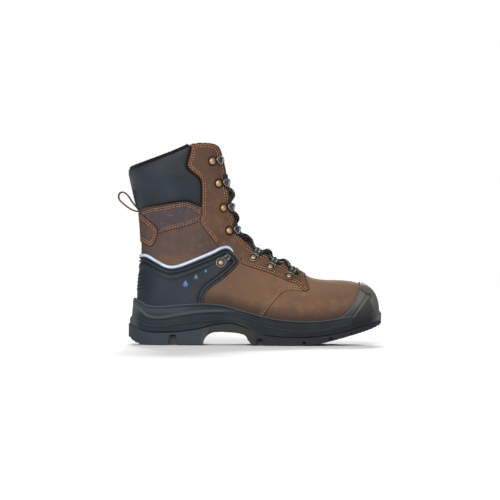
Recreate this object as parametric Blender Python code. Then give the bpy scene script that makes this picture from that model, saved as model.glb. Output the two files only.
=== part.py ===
"""Right safety boot: a high lace-up work boot on a moulded sole with a toe bumper.

The upper is a loft through leaning sections, from the toe over the instep to the collar.
Every panel of the upper is cut between two offsets of that loft by an outline drawn in side
view. Sizes are in millimetres; the frame has +X to the toe, -Y to the outer side and +Z up.
"""

import math

import bmesh
import bpy
import numpy as np
from mathutils import Matrix, Vector
from mathutils.bvhtree import BVHTree

MM = 0.001  # metres in a millimetre
GAP = 0.3  # air left between two pieces that meet
ROOT = "boot"  # the empty that carries every piece
FRAME_SHIFT = (-0.55, 1.25, 0.0)  # puts the middle of the boot's box over the origin

# Driving sizes of the last and of the boot
LAST_LENGTH = 288.0
HEEL_X = -134.0  # back of the last
BALL_WIDTH = 103.0
TOE_HEIGHT = 78.4  # ridge over the toe root
INSTEP_HEIGHT = 118.5  # ridge at the front of the ankle
COLLAR_HEIGHT = 243.0
HEEL_SEAT = 30.0  # footbed under the heel
BALL_SEAT = 17.5  # footbed under the ball
TOE_SEAT = 22.0  # footbed at the toe root
TOE_TIP_SEAT = 29.0  # footbed at the toe tip, raised by the toe spring
TOE_PROFILE_POWER = 3.3  # fullness of the toe seen from the side
RIM = 600.0  # reach of an outline that isn't meant to cut
ABOVE_COLLAR = 262.0  # height of an outline that runs out over the collar
BELOW_FLOOR = -20.0  # height of an outline that runs out under the tread
MIDDLE = 4.0  # room left at the middle by the panels of one side

# Thicknesses, as offsets from the leather's outer face
WALL = 2.2
PANEL = 1.5
EYESTAY_GAP = 0.45
FOOT_ROOM = 0.5  # air between the leather and the sole around it
BAND = 1.1
COUNTER = 2.6
PAD = 5.4  # at the collar
PAD_EDGE = 1.6  # along the pad's lower edge
PAD_FULL = (165.0, 205.0)  # heights where the pad starts to swell and is full
PIPING = 3.0
TOE_BUMPER = 4.2  # at the toe tip
BUMPER_EDGE = 1.9  # along the bumper's upper edge
BUMPER_FULL = (128.0, 152.0)  # places along the boot where it starts to swell and is full
TONGUE = 3.2
TONGUE_OUT = WALL + 3 * GAP
TONGUE_SUNK = 9.0  # at the collar, where the tongue lies back
TONGUE_SINKS = (140.0, 225.0)  # heights where it starts and ends to sink
INSOLE = 4.0
INSOLE_LIFT = 0.9  # footbed's rounded edge above the sole's plate
UPPER_EDGE = 6.0  # lower edge of the leather above the sole's plate
TONGUE_REACH = 15.0  # tongue behind the throat's edge
TONGUE_TOP = 240.0
TONGUE_SPAN = (-10.0, -58.0)  # front and back of its upper end

# Sections of the upper: each lies in a plane through the Y direction and leans from its base,
# under the foot or at the back of the leg, to its top on the ridge of the instep.
# along_top and along_base are shares of LAST_LENGTH from the heel; wide_at is the share of the
# way from base to top where the section is widest; lateral and medial are half widths as shares
# of BALL_WIDTH; the powers say how square the two arcs are; rows is how many rows of the loft
# run from this section to the next.
SECTION_COLUMNS = (
    "along_top", "top_z", "along_base", "base_z", "wide_at",
    "lateral", "medial", "ridge_y", "top_power", "base_power", "rows",
)
SECTIONS = {
    "toe root": (0.795, TOE_HEIGHT, 0.795, TOE_SEAT, 0.00, 0.490, 0.462, 5.0, 2.50, 4.0, 2),
    "ball": (0.743, 80.2, 0.688, 18.0, 0.04, 0.503, 0.480, 4.0, 2.45, 5.0, 2),
    "vamp": (0.691, 86.5, 0.583, BALL_SEAT, 0.08, 0.498, 0.476, 3.0, 2.35, 5.0, 1),
    "waist": (0.632, 97.0, 0.472, 22.5, 0.12, 0.466, 0.428, 2.0, 2.20, 5.0, 1),
    "instep": (0.569, 108.0, 0.340, 28.0, 0.18, 0.422, 0.390, 1.0, 2.10, 5.0, 2),
    "ankle front": (0.510, INSTEP_HEIGHT, 0.208, HEEL_SEAT, 0.26, 0.384, 0.370, 0.0, 2.00, 5.0, 1),
    "heel seat": (0.465, 127.5, 0.083, HEEL_SEAT, 0.34, 0.364, 0.364, 0.0, 2.00, 4.5, 2),
    "heel curve": (0.441, 138.0, 0.010, 42.0, 0.40, 0.359, 0.359, 0.0, 2.00, 3.2, 2),
    "heel back": (0.425, 150.0, 0.000, 68.0, 0.44, 0.359, 0.359, 0.0, 2.05, 2.6, 1),
    "ankle": (0.413, 165.0, 0.009, 97.0, 0.46, 0.369, 0.369, 0.0, 2.10, 2.4, 1),
    "lower shaft": (0.401, 184.0, 0.011, 126.0, 0.48, 0.388, 0.388, 0.0, 2.20, 2.3, 1),
    "mid shaft": (0.389, 204.0, 0.003, 157.0, 0.48, 0.417, 0.417, 0.0, 2.25, 2.3, 1),
    "upper shaft": (0.375, 226.0, -0.012, 190.0, 0.49, 0.447, 0.447, 0.0, 2.30, 2.3, 1),
    "above collar": (0.359, 262.0, -0.030, 230.0, 0.50, 0.466, 0.466, 0.0, 2.30, 2.3, 1),
}
TOE_ROWS = 6  # rows of the loft from the toe tip to the toe root
TOP_STEPS = 7  # facets from the ridge to the widest place, on each side
BASE_STEPS = 5  # facets from the widest place to the base, on each side
UNDERSIDE = 6.0  # height above the seat where the loft starts to swell downwards

# Lines and outlines in side view, (x, z)
THROAT_LINE = (
    (62, 92), (55, 91), (42, 98), (20, 109), (1, 119.5), (-10, 130), (-16, 145), (-20, 158),
    (-24, 176), (-27, 194), (-29.2, 211), (-32.6, 226), (-35.5, 235.5),
)
COLLAR_LINE = (
    (-35.5, 235.5), (-38, 239.2), (-43, 241.9), (-50, 242.8), (-60, COLLAR_HEIGHT), (-70, 241.4),
    (-86, 234.4), (-100, 228.7), (-128, 218.3), (-150, 210.8),
)
OVER_TOE = ((RIM, TOE_TIP_SEAT), (RIM, 132), (102, 132))
BEHIND_HEEL = (-RIM, 150)
SOLE_RIM_LINE = (
    (-160, 58), (-141, 56.5), (-132, 52.5), (-123, 48), (-110, 46.8), (-78, 49), (-55, 50),
    (-32, 48.3), (-11, 42.8), (13, 36), (37, 31.2), (60, 29.4), (85, 29.8), (103, 32.3),
)
BUMPER_LINE = (
    (103, 32.3), (112, 36.5), (121, 46), (127.5, 56), (131.5, 65), (133, 72), (130, 80), (125, 92),
)
AROUND_TOE = ((125, RIM), (RIM, RIM), (RIM, 20), (103, 24))
BUMPER_STEP_LINE = ((103, 32.3), (125, 36), (150, 40), (175, 43))
PARTING_LINE = (
    (-160, 31), (-143, 24.5), (-126, 16.5), (-96, 15), (-62, 19), (-42, 24), (-20, 25.5), (0, 19.5),
    (17, 13), (37, 10.2), (70, 9.8), (100, 13.5), (130, 21), (150, 27), (175, 33),
)
HEEL_BEVEL = ((-160, 17), (-145, 9), (-138, 3.5), (-126, 0))
ARCH_LINE = ((-56, 0), (-53, 8), (-45, 14.5), (-24, 15.5), (-5, 12), (-1, 6), (4, 0))
TOE_SPRING = ((64, 0), (85, 2.3), (110, 8.5), (134, 15.5), (150, 21), (175, 33))

# The counter's upper edge, from the heel's back to the tip of its arm, and its front edge down
COUNTER_TOP = (
    (-165, 103), (-133, 105), (-124, 106), (-113, 100), (-101, 93.5), (-93, 92), (-84, 93.6),
    (-60, 103), (-43, 110.3), (-32, 115.6), (-26, 115.8), (-20, 110.2),
)
COUNTER_FRONT = (
    (-13.4, 103.2), (-12.6, 99), (-18.6, 91), (-33, 78.2), (-43, 71), (-50.5, 64), (-54.2, 56), (-54, 40),
)
COUNTER_FOOT = ((-54, 20), (-RIM, 20))
PIPING_WIDTH = 2.4

# The eyestay's rear edge, from the collar down to the counter's arm, and its lower edge forward
EYESTAY_REAR = (
    (-69, ABOVE_COLLAR), (-69.8, 240), (-71.5, 229), (-74.5, 216.5), (-72.5, 211.5), (-65, 205.5),
    (-58.7, 199), (-57.5, 192), (-57.5, 158.5), (-59, 147.5), (-54.4, 139.8), (-45.6, 128.6), (-36, 116.2),
)
EYESTAY_LOWER = (
    (-10, 98), (2, 93.5), (25, 86), (48, 76.5), (57.5, 72.8), (62, 67.6), (67.6, 65), (72.3, 67.5),
    (71.3, 73), (68.8, 79), (68.2, 90), (67.7, 130),
)

# The padded collar's lower edge, from the back to the eyestay
PAD_LOWER = (
    (-165, 162.8), (-136, 163.5), (-118, 166.2), (-100, 168.8), (-82, 172), (-74, 171.8), (-58.4, 165.5),
)
# The stitched band under the pad, and the tab at the back that carries the pull loop
BAND_UPPER = (
    (-131, 160), (-118, 164.6), (-100, 167.5), (-82, 171), (-74, 170.8), (-61, 164.5), (-50, 158.5),
)
BAND_LOWER = ((-50, 152.5), (-62.5, 147.5), (-76, 142.5), (-92, 138.5), (-110, 133.5))
BAND_BACK = ((-135, 140), (-135, 159))
TAB_EDGE = (
    (-165, 160), (-134, 159.8), (-122, 151), (-111.5, 141), (-110, 135), (-113, 124), (-118, 118),
    (-126, 121), (-134, 125), (-165, 137),
)
PULL_LOOP = (
    (-137.4, 162.4), (-141, 170.6), (-147, 179.6), (-153.5, 184), (-158.2, 181), (-157.2, 174.4),
    (-151, 168.6), (-142, 162.6),
)
LOOP_WIDTH = 15.0
LOOP_POINTS = 16
LOOP_THICKNESS = 1.6

# Plan outline of the sole's wall, (x, y), closed
SOLE_OUTLINE = (
    (-141, 0), (-137, -17), (-122, -33), (-95, -40.5), (-35, -45), (36, -56.5), (100, -54.5),
    (130, -46.5), (149, -31), (157.5, -10), (158.6, 8), (154, 25), (140, 40.5), (114, 50), (70, 54.5),
    (-25, 42.5), (-95, 40.5), (-122, 33), (-137, 17),
)
SOLE_POINTS = 48
SOLE_BODY_TOP = 110.0  # height of the blank that the sole's wall is cut from
TREAD_BODY_TOP = 60.0  # height of the blank that the tread is cut from
# Steps of the sole's wall from the tread up: share of the way from parting line to rim, how far
# it stands out of the outline, and its extra reach behind the heel
WALL_STEPS = (
    (0.0, 1.6, 2.0), (0.22, 1.6, 2.0), (0.29, 0.2, 1.8), (0.54, 0.2, 0.8), (0.61, -1.2, 0.5),
    (0.86, -1.6, 0.0), (0.92, -0.8, 0.0), (1.0, -1.0, 0.0),
)
HEEL_FLARE = 3.2  # extra reach of the outsole behind the heel
FLARE_LENGTH = 30.0  # length of the heel that the extra reach fades over

# Gaps between the lugs: place along the boot, width, and height of the gap's roof
LUG_GAPS = (
    ("heel", -91.5, 12.0, 12.5),
    ("ball rear", 13.0, 11.0, 8.0),
    ("ball front", 66.0, 7.0, 5.5),
    ("toe rear", 98.0, 7.4, 10.3),
    ("toe", 122.5, 7.0, 16.0),
)
LUG_REACH = 9.0  # length of a gap from the sole's edge inwards
LUG_SLOPE = 2.4  # how much each side of a gap leans in from the tread to the roof
# Channels between the outer and the middle lugs: from and to along the boot, and across it
CHANNELS = (
    ("forefoot_lateral", 10.0, 116.0, -20.0),
    ("forefoot_medial", 10.0, 116.0, 19.0),
    ("heel", -122.0, -62.0, 0.0),
)
CHANNEL_WIDTH = 5.0
CHANNEL_DEPTH = 4.0
CHANNEL_STEPS = 6

# Lace fittings of each side: (x, z) of the rivet and (x, z) that the fitting points to
RINGS = ((47.6, 82.4), (25, 93.3), (4.5, 104.4))
RING_AIM = (0.55, 0.84)
ANKLE_RING = (-34.5, 98.5)
ANKLE_RING_AIM = (0.80, 0.60)
HOOKS = ((-25.5, 137.5), (-32.5, 165), (-38.5, 194.5), (-46, 221))
HOOK_AIM = (0.97, 0.25)
RING_RIVET = 2.8  # radius of the rivet's head in a ring's foot
HOOK_RIVET = 4.2  # radius of the rivet's head on a hook's foot
DOME = 0.7  # a rivet's head is flattened by this share
RING_FOOT = 5.6  # radius of a ring's round foot
HOOK_FOOT = 5.6
PLATE = 1.2
PLATE_LIFT = 0.8  # flat plate above the curved leather
EYE = (9.2, 4.0)  # middle of a ring's eye and of a hook's bay, ahead of the rivet and out
EYE_TURN = (-130.0, 205.0)  # degrees that a ring's strip runs round its eye
EYE_POINTS = 6
EYE_RADIUS = 3.3
RING_STEM = ((-4, PLATE / 2), (4.5, PLATE / 2))  # ring's strip up to its eye, ahead and out
# A hook's strip, ahead of the rivet and out: foot, riser and curled head
HOOK_LINE = (
    (-4, PLATE / 2), (4.2, PLATE / 2), (5.4, 2.0), (5.8, 5.2), (8.2, 7.4), (11.0, 7.0), (12.2, 5.0),
)
FITTING_WIDTH = 7.0
LACE_RADIUS = 2.3
LACE_LIFTS = (3.9, 3.4, 3.9)  # lace centre above the eyestay's face, at places along one run
LACE_CLEAR = 3.6  # lace's end before a fitting
LACED_HOOKS = 3  # hooks in use, from the bottom

LEATHER = ((0.16, 0.085, 0.05), 0.62, 0.0)
DARK_LEATHER = ((0.12, 0.07, 0.05), 0.66, 0.0)
PAD_SKIN = ((0.035, 0.042, 0.05), 0.5, 0.0)
RUBBER = ((0.03, 0.035, 0.04), 0.55, 0.0)
TREAD = ((0.035, 0.033, 0.028), 0.7, 0.0)
SILVER = ((0.62, 0.68, 0.76), 0.35, 0.2)
BRASS = ((0.55, 0.36, 0.13), 0.32, 1.0)
BLACK_METAL = ((0.06, 0.06, 0.06), 0.35, 0.9)
CORD = ((0.02, 0.02, 0.02), 0.85, 0.0)
FOAM = ((0.05, 0.05, 0.05), 0.9, 0.0)


def spline(values, places):
    """Natural cubic spline through values at 0, 1, 2, ... read at places."""
    values = np.asarray(values, float)
    count = len(values)
    system = np.eye(count)
    right = np.zeros_like(values)
    for i in range(1, count - 1):
        system[i, i - 1 : i + 2] = 1, 4, 1
        right[i] = 6 * (values[i - 1] - 2 * values[i] + values[i + 1])
    bend = np.linalg.solve(system, right)
    span = np.clip(np.floor(places).astype(int), 0, count - 2)
    t = (np.asarray(places, float) - span).reshape(-1, *[1] * (values.ndim - 1))
    a, b = values[span], values[span + 1]
    return a + (b - a) * t - t * (1 - t) * ((2 - t) * bend[span] + (1 + t) * bend[span + 1]) / 6


def smooth(points, per_span=2):
    """An open line of points, rounded through a spline."""
    points = np.asarray(points, float)
    return spline(points, np.linspace(0, len(points) - 1, (len(points) - 1) * per_span + 1))


def smooth_loop(points, count):
    """A closed line of points, rounded through a spline that runs past its own start."""
    points = np.asarray(points, float)
    lap = len(points)
    extended = np.concatenate([points[-4:], points, points[:4]])
    return spline(extended, 4 + np.arange(count) * lap / count)


def height_at(line, x):
    """Height of a side-view line at x."""
    line = smooth(line)
    order = np.argsort(line[:, 0])
    return np.interp(x, line[order, 0], line[order, 1])


def powered(value, power):
    return np.sign(value) * np.abs(value) ** power


def section_rows():
    """One row of section values for each row of the loft, toe tip first."""
    table = np.array(list(SECTIONS.values()), float)
    for name in ("along_top", "along_base"):
        column = SECTION_COLUMNS.index(name)
        table[:, column] = HEEL_X + LAST_LENGTH * table[:, column]
    for name in ("lateral", "medial"):
        table[:, SECTION_COLUMNS.index(name)] *= BALL_WIDTH
    steps = table[:-1, SECTION_COLUMNS.index("rows")].astype(int)
    places = [i + k / count for i, count in enumerate(steps) for k in range(count)]
    body = spline(table, np.array(places + [len(table) - 1]))
    root = dict(zip(SECTION_COLUMNS, table[0]))
    turn = np.linspace(0, math.pi / 2, TOE_ROWS, endpoint=False)
    toe = np.repeat(table[:1], TOE_ROWS, axis=0)
    reach = HEEL_X + LAST_LENGTH - root["along_base"]
    along = powered(np.cos(turn), 2 / TOE_PROFILE_POWER)
    up = powered(np.sin(turn), 2 / TOE_PROFILE_POWER)
    toe[:, SECTION_COLUMNS.index("along_top")] = root["along_base"] + reach * along
    toe[:, SECTION_COLUMNS.index("top_z")] = (
        root["base_z"] + (root["top_z"] - root["base_z"]) * up + (TOE_TIP_SEAT - TOE_SEAT) * along * (1 - up)
    )
    return np.concatenate([toe, body])


def upper_grid():
    """Points and outward normals of the leather's outer face, rows from toe to collar.

    Each row runs once round its section, from the base up the outer side, over the ridge and
    down the inner side. The toe's rows all end at the toe root, on both sides."""
    rows = section_rows()
    angle = np.concatenate(
        [np.linspace(0, math.pi / 2, TOP_STEPS + 1), np.linspace(math.pi / 2, math.pi, BASE_STEPS + 1)[1:]]
    )
    angle = np.concatenate([-angle[:0:-1], angle[:-1]])
    value = {name: rows[:, i : i + 1] for i, name in enumerate(SECTION_COLUMNS)}
    above = np.abs(angle) <= math.pi / 2 + 1e-9
    power = np.where(above, value["top_power"], value["base_power"])
    along = np.abs(np.cos(angle)) ** (2 / power)
    across = np.abs(np.sin(angle)) ** (2 / power)
    wide_x = value["along_base"] + (value["along_top"] - value["along_base"]) * value["wide_at"]
    wide_z = value["base_z"] + (value["top_z"] - value["base_z"]) * value["wide_at"]
    end_x = np.where(above, value["along_top"], value["along_base"])
    end_z = np.where(above, value["top_z"], value["base_z"])
    middle = np.where(above, value["ridge_y"], 0.0)
    side = np.where(angle < 0, -value["lateral"], value["medial"])
    x = wide_x + (end_x - wide_x) * along
    y = middle + (side - middle) * across
    z = wide_z + (end_z - wide_z) * along
    points = np.stack([x, y, z], axis=-1)
    round_way = np.roll(points, -1, axis=1) - np.roll(points, 1, axis=1)
    along_way = np.gradient(points, axis=0)
    normals = np.cross(round_way, along_way)
    normals /= np.maximum(np.linalg.norm(normals, axis=2, keepdims=True), 1e-9)
    return points, flat_ends(points, normals, angle, value["base_z"])


def flat_ends(points, normals, angle, seat):
    """Normals that keep the underside and the two ends of the loft flat in every offset."""
    lift = np.clip((points[..., 2] - np.minimum(seat, HEEL_SEAT)) / UNDERSIDE, 0, 1)
    down = normals[..., 2] < 0
    normals[..., 2] = np.where(down, normals[..., 2] * lift, normals[..., 2])
    sideways = np.linalg.norm(normals, axis=2, keepdims=True)
    normals /= np.maximum(sideways, 0.4)
    toe = slice(0, TOE_ROWS + 1)
    below = np.abs(angle) > math.pi / 2 + 1e-9
    normals[toe, below] = 0
    for column in np.flatnonzero(np.isclose(np.abs(angle), math.pi / 2)):
        normals[toe, column] = (0, math.copysign(1, angle[column]), 0)
    for row in (0, -1):
        ring = points[row]
        ahead = ring[np.argmin(np.abs(angle))] - ring[0]
        upright = np.cross(ahead, (0, 1, 0))
        upright /= np.linalg.norm(upright)
        normals[row] -= (normals[row] @ upright)[:, None] * upright
    return normals


def footbed_line():
    """Side-view line of the loft's underside, heel first and level behind the heel."""
    rows = section_rows()[TOE_ROWS:]
    base = rows[:, [SECTION_COLUMNS.index("along_base"), SECTION_COLUMNS.index("base_z")]]
    seat = base[: np.argmin(np.abs(base[:, 0] - HEEL_X - LAST_LENGTH * SECTIONS["heel seat"][2])) + 1]
    tip = HEEL_X + LAST_LENGTH
    slope = (TOE_TIP_SEAT - TOE_SEAT) / (tip - seat[0, 0])
    front = (tip + TOE_BUMPER * 4, TOE_TIP_SEAT + slope * TOE_BUMPER * 4)
    return np.concatenate([[(-RIM, HEEL_SEAT)], seat[::-1], [front]])


def new_object(name, mesh, collection):
    obj = bpy.data.objects.new(name, mesh)
    collection.objects.link(obj)
    obj.parent = bpy.data.objects[ROOT]
    return obj


def material(name, finish):
    colour, roughness, metallic = finish
    made = bpy.data.materials.new(name)
    made.use_nodes = True
    shader = made.node_tree.nodes["Principled BSDF"]
    shader.inputs["Base Color"].default_value = (*colour, 1)
    shader.inputs["Roughness"].default_value = roughness
    shader.inputs["Metallic"].default_value = metallic
    made.diffuse_color = (*colour, 1)
    return made


def loft(name, rings, collection):
    """A closed solid from rings of points, with a flat face over the first and the last."""
    mesh = bpy.data.meshes.new(name)
    work = bmesh.new()
    rows = [[work.verts.new(Vector(p) * MM) for p in ring] for ring in rings]
    for row, after in zip(rows, rows[1:]):
        for i in range(len(row)):
            work.faces.new((row[i - 1], row[i], after[i], after[i - 1]))
    work.faces.new(rows[0][::-1])
    work.faces.new(rows[-1])
    bmesh.ops.remove_doubles(work, verts=work.verts, dist=1e-6)
    bmesh.ops.dissolve_degenerate(work, dist=1e-6, edges=work.edges)
    bmesh.ops.recalc_face_normals(work, faces=work.faces)
    work.to_mesh(mesh)
    work.free()
    return new_object(name, mesh, collection)


def mesh_from_curve(name, curve, matrix, collection):
    """A curve object made a closed mesh, with its caps welded to its sides."""
    guide = bpy.data.objects.new(name + "_guide", curve)
    bpy.context.scene.collection.objects.link(guide)
    guide.matrix_world = matrix
    bpy.context.view_layer.update()
    evaluated = guide.evaluated_get(bpy.context.evaluated_depsgraph_get())
    mesh = bpy.data.meshes.new_from_object(evaluated)
    work = bmesh.new()
    work.from_mesh(mesh)
    bmesh.ops.remove_doubles(work, verts=work.verts, dist=1e-7)
    bmesh.ops.recalc_face_normals(work, faces=work.faces)
    work.to_mesh(mesh)
    work.free()
    mesh.name = name
    bpy.data.objects.remove(guide)
    obj = new_object(name, mesh, collection)
    obj.matrix_basis = matrix
    return obj


def flat_outline(name, *loops):
    """A filled 2D curve through closed loops of points in millimetres; an inner loop is a hole."""
    curve = bpy.data.curves.new(name, "CURVE")
    curve.dimensions = "2D"
    curve.fill_mode = "BOTH"
    for points in loops:
        line = curve.splines.new("POLY")
        line.points.add(len(points) - 1)
        for point, (across, up) in zip(line.points, points):
            point.co = (across * MM, up * MM, 0, 1)
        line.use_cyclic_u = True
    return curve


def side_prism(name, outline, collection, low_y=-RIM, high_y=RIM):
    """A side-view outline (x, z), stretched through the boot from low_y to high_y."""
    curve = flat_outline(name, outline)
    curve.extrude = (high_y - low_y) / 2 * MM
    upright = Matrix.Rotation(math.pi / 2, 4, "X")
    middle = Matrix.Translation((0, (low_y + high_y) / 2 * MM, 0))
    prism = mesh_from_curve(name, curve, middle @ upright, collection)
    prism.hide_render = True
    prism.display_type = "WIRE"
    return prism


def boolean(obj, operation, other):
    modifier = obj.modifiers.new(operation.lower() + "_" + other.name, "BOOLEAN")
    modifier.operation = operation
    modifier.object = other


class Boot:
    """The collections, the shared loft and the pieces cut from it."""

    def __init__(self):
        self.parts = bpy.data.collections.new("safety_boot")
        self.cutters = bpy.data.collections.new("cutters")
        for collection in (self.parts, self.cutters):
            bpy.context.scene.collection.children.link(collection)
        root = bpy.data.objects.new(ROOT, None)
        root.location = Vector(FRAME_SHIFT) * MM
        self.parts.objects.link(root)
        self.points, self.normals = upper_grid()

    def rings(self, offset):
        """Rings of the loft moved out by offset, one number or one for each point."""
        return self.points + self.normals * offset

    def form(self, name, offset):
        """The loft swollen or shrunk by offset, as a closed cutter."""
        made = loft(name, self.rings(offset), self.cutters)
        made.hide_render = True
        made.display_type = "WIRE"
        return made

    def swell(self, low, high, axis, start, full):
        """An offset that grows from low to high between two places along an axis."""
        share = np.clip((self.points[..., axis : axis + 1] - start) / (full - start), 0, 1)
        return low + (high - low) * share

    def add(self, obj, finish):
        obj.data.materials.clear()
        obj.data.materials.append(material(obj.name, finish))
        obj.data.shade_smooth()
        obj.data.set_sharp_from_angle(angle=math.radians(40))
        return obj

    def panel(self, name, inner, outer, outline, finish, low_y=-RIM, high_y=RIM):
        """The shell between two offsets of the loft, kept inside a side-view outline."""
        obj = loft(name, self.rings(outer), self.parts)
        boolean(obj, "INTERSECT", side_prism(name + "_outline", outline, self.cutters, low_y, high_y))
        boolean(obj, "DIFFERENCE", self.form(name + "_inside", inner))
        return self.add(obj, finish)

    def tree(self, offset):
        """The loft's offset face as a search tree."""
        rings = self.rings(offset)
        rows, columns = rings.shape[:2]
        corner = np.arange(rows * columns).reshape(rows, columns)
        beside = np.roll(corner, -1, axis=1)
        faces = np.stack([corner[:-1], beside[:-1], beside[1:], corner[1:]], axis=-1).reshape(-1, 4)
        return BVHTree.FromPolygons(rings.reshape(-1, 3).tolist(), faces.tolist())

    def outward(self, normal, face):
        """A face's normal, turned to point out of the boot."""
        row, column = divmod(face, self.normals.shape[1])
        return normal if normal.dot(Vector(self.normals[row, column])) > 0 else -normal

    def surface_at(self, x, z, offset, side):
        """Point and normal of the loft's offset face at a side-view place, seen from one side."""
        place, normal, face, _ = self.tree(offset).ray_cast(Vector((x, side * RIM, z)), Vector((0, -side, 0)))
        return place, self.outward(normal, face)

    def held_off(self, places, offset, distances):
        """Places moved out of the leather, each to its own distance from the offset face at least."""
        tree = self.tree(offset)
        held = []
        for place, distance in zip(places, distances):
            spot, normal, face, _ = tree.find_nearest(Vector(place))
            out = self.outward(normal, face)
            height = (Vector(place) - spot).dot(out)
            held.append(Vector(place) + out * max(0.0, distance - height))
        return held


def offset_line(line, distance):
    """A side-view line moved to its left by distance."""
    line = np.asarray(line, float)
    way = np.gradient(line, axis=0)
    way /= np.linalg.norm(way, axis=1, keepdims=True)
    return line + distance * np.stack([-way[:, 1], way[:, 0]], axis=1)


def offset_loop(line, distance):
    """A closed line moved to its left by distance."""
    way = np.roll(line, -1, axis=0) - np.roll(line, 1, axis=0)
    way /= np.linalg.norm(way, axis=1, keepdims=True)
    return line + distance * np.stack([-way[:, 1], way[:, 0]], axis=1)


def outline_of(*lines):
    return np.concatenate([np.asarray(line, float).reshape(-1, 2) for line in lines])


def build_upper(boot):
    outline = outline_of(
        footbed_line() + (0, UPPER_EDGE),
        OVER_TOE,
        THROAT_LINE,
        COLLAR_LINE[1:],
        BEHIND_HEEL,
    )
    boot.panel("upper", -WALL, 0.0, outline, LEATHER)


def build_tongue(boot):
    rear = offset_line(THROAT_LINE, TONGUE_REACH)
    front = offset_line(THROAT_LINE, -2 * TONGUE_REACH)
    front = front[front[:, 1] < TONGUE_TOP]
    rear = rear[rear[:, 1] < TONGUE_TOP]
    outline = outline_of(front, [(x, TONGUE_TOP) for x in TONGUE_SPAN], rear[::-1])
    sunk = boot.swell(-TONGUE_OUT, -TONGUE_SUNK, 2, *TONGUE_SINKS)
    boot.panel("tongue", sunk - TONGUE, sunk, outline, CORD)


def build_insole(boot):
    obj = loft("insole", boot.rings(-WALL - 2 * GAP), boot.parts)
    low = footbed_line() + (0, INSOLE_LIFT)
    high = low + (0, INSOLE)
    boolean(obj, "INTERSECT", side_prism("insole_outline", outline_of(low, high[::-1]), boot.cutters))
    boot.add(obj, FOAM)


def build_panels(boot):
    counter = outline_of(COUNTER_TOP, COUNTER_FRONT, COUNTER_FOOT)
    rim = offset_line(smooth(SOLE_RIM_LINE), GAP)
    above_sole = side_prism("above_sole", outline_of(rim, (RIM, RIM), (-RIM, RIM)), boot.cutters)
    made = boot.panel("heel_counter", GAP, COUNTER, counter, RUBBER)
    boolean(made, "INTERSECT", above_sole)

    piping = outline_of(offset_line(COUNTER_TOP, GAP), offset_line(COUNTER_TOP, GAP + PIPING_WIDTH)[::-1])
    boot.panel("piping", GAP, PIPING, piping, SILVER)

    beside_stay = offset_line(EYESTAY_REAR, -GAP)
    pad_front = beside_stay[beside_stay[:, 1] > PAD_LOWER[-1][1] + 1]
    pad = outline_of(smooth(PAD_LOWER), pad_front[::-1], (-RIM, ABOVE_COLLAR))
    floor = ((-RIM, COLLAR_LINE[-1][1]), (-RIM, 0), (RIM, 0), (RIM, COLLAR_LINE[0][1]))
    below_collar = side_prism("below_collar", outline_of(COLLAR_LINE, floor), boot.cutters)
    made = boot.panel("collar_pad", GAP, boot.swell(PAD_EDGE, PAD, 2, *PAD_FULL), pad, PAD_SKIN)
    boolean(made, "INTERSECT", below_collar)

    tab = smooth(TAB_EDGE)
    boot.panel("heel_tab", GAP, PANEL, tab, DARK_LEATHER)
    tab_room = side_prism("tab_room", offset_line(tab, GAP), boot.cutters)
    stay_room = side_prism("stay_room", outline_of(beside_stay, (RIM, 0), (RIM, RIM)), boot.cutters)
    piping_room = offset_line(COUNTER_TOP, 2 * GAP + PIPING_WIDTH)
    front_room = np.array(COUNTER_FRONT) + (2 * GAP, 0)
    counter_room = side_prism(
        "counter_room", outline_of(piping_room, front_room, COUNTER_FOOT), boot.cutters
    )
    stay = outline_of(EYESTAY_REAR, EYESTAY_LOWER, THROAT_LINE, (THROAT_LINE[-1][0], ABOVE_COLLAR))
    band = outline_of(smooth(BAND_UPPER), smooth(BAND_LOWER), BAND_BACK)
    for side, low_y, high_y in (("lateral", -RIM, -MIDDLE), ("medial", MIDDLE, RIM)):
        made = boot.panel(f"ankle_band_{side}", GAP, BAND, band, DARK_LEATHER, low_y, high_y)
        boolean(made, "DIFFERENCE", tab_room)
        boolean(made, "DIFFERENCE", stay_room)
        made = boot.panel(f"eyestay_{side}", EYESTAY_GAP, PANEL, stay, LEATHER, low_y, high_y)
        boolean(made, "INTERSECT", below_collar)
        boolean(made, "DIFFERENCE", counter_room)


def build_pull_loop(boot):
    line = smooth_loop(PULL_LOOP, LOOP_POINTS)
    half = LOOP_THICKNESS / 2
    curve = flat_outline("pull_loop", offset_loop(line, half), offset_loop(line, -half))
    curve.extrude = LOOP_WIDTH / 2 * MM
    upright = Matrix.Rotation(math.pi / 2, 4, "X")
    boot.add(mesh_from_curve("pull_loop", curve, upright, boot.parts), DARK_LEATHER)


def sole_rings(levels):
    """Rings of the sole: levels are (height function of x, stand-out, extra reach behind the heel)."""
    plan = smooth_loop(SOLE_OUTLINE, SOLE_POINTS)
    rings = []
    for height, stand_out, flare in levels:
        place = offset_loop(plan, -stand_out)
        place[:, 0] -= flare * np.clip((HEEL_X + FLARE_LENGTH - place[:, 0]) / FLARE_LENGTH, 0, 1)
        rings.append(np.column_stack([place, height(place[:, 0])]))
    return rings


def level(z):
    """A height function that is the same everywhere."""
    return lambda x: np.full_like(x, z)


def between(share):
    """A height function at a share of the way from the parting line to the rim."""

    def height(x):
        low = height_at(PARTING_LINE, x)
        rim = np.where(
            x > SOLE_RIM_LINE[-1][0], height_at(BUMPER_STEP_LINE, x), height_at(SOLE_RIM_LINE, x)
        )
        return low + (rim - low) * share

    return height


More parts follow.
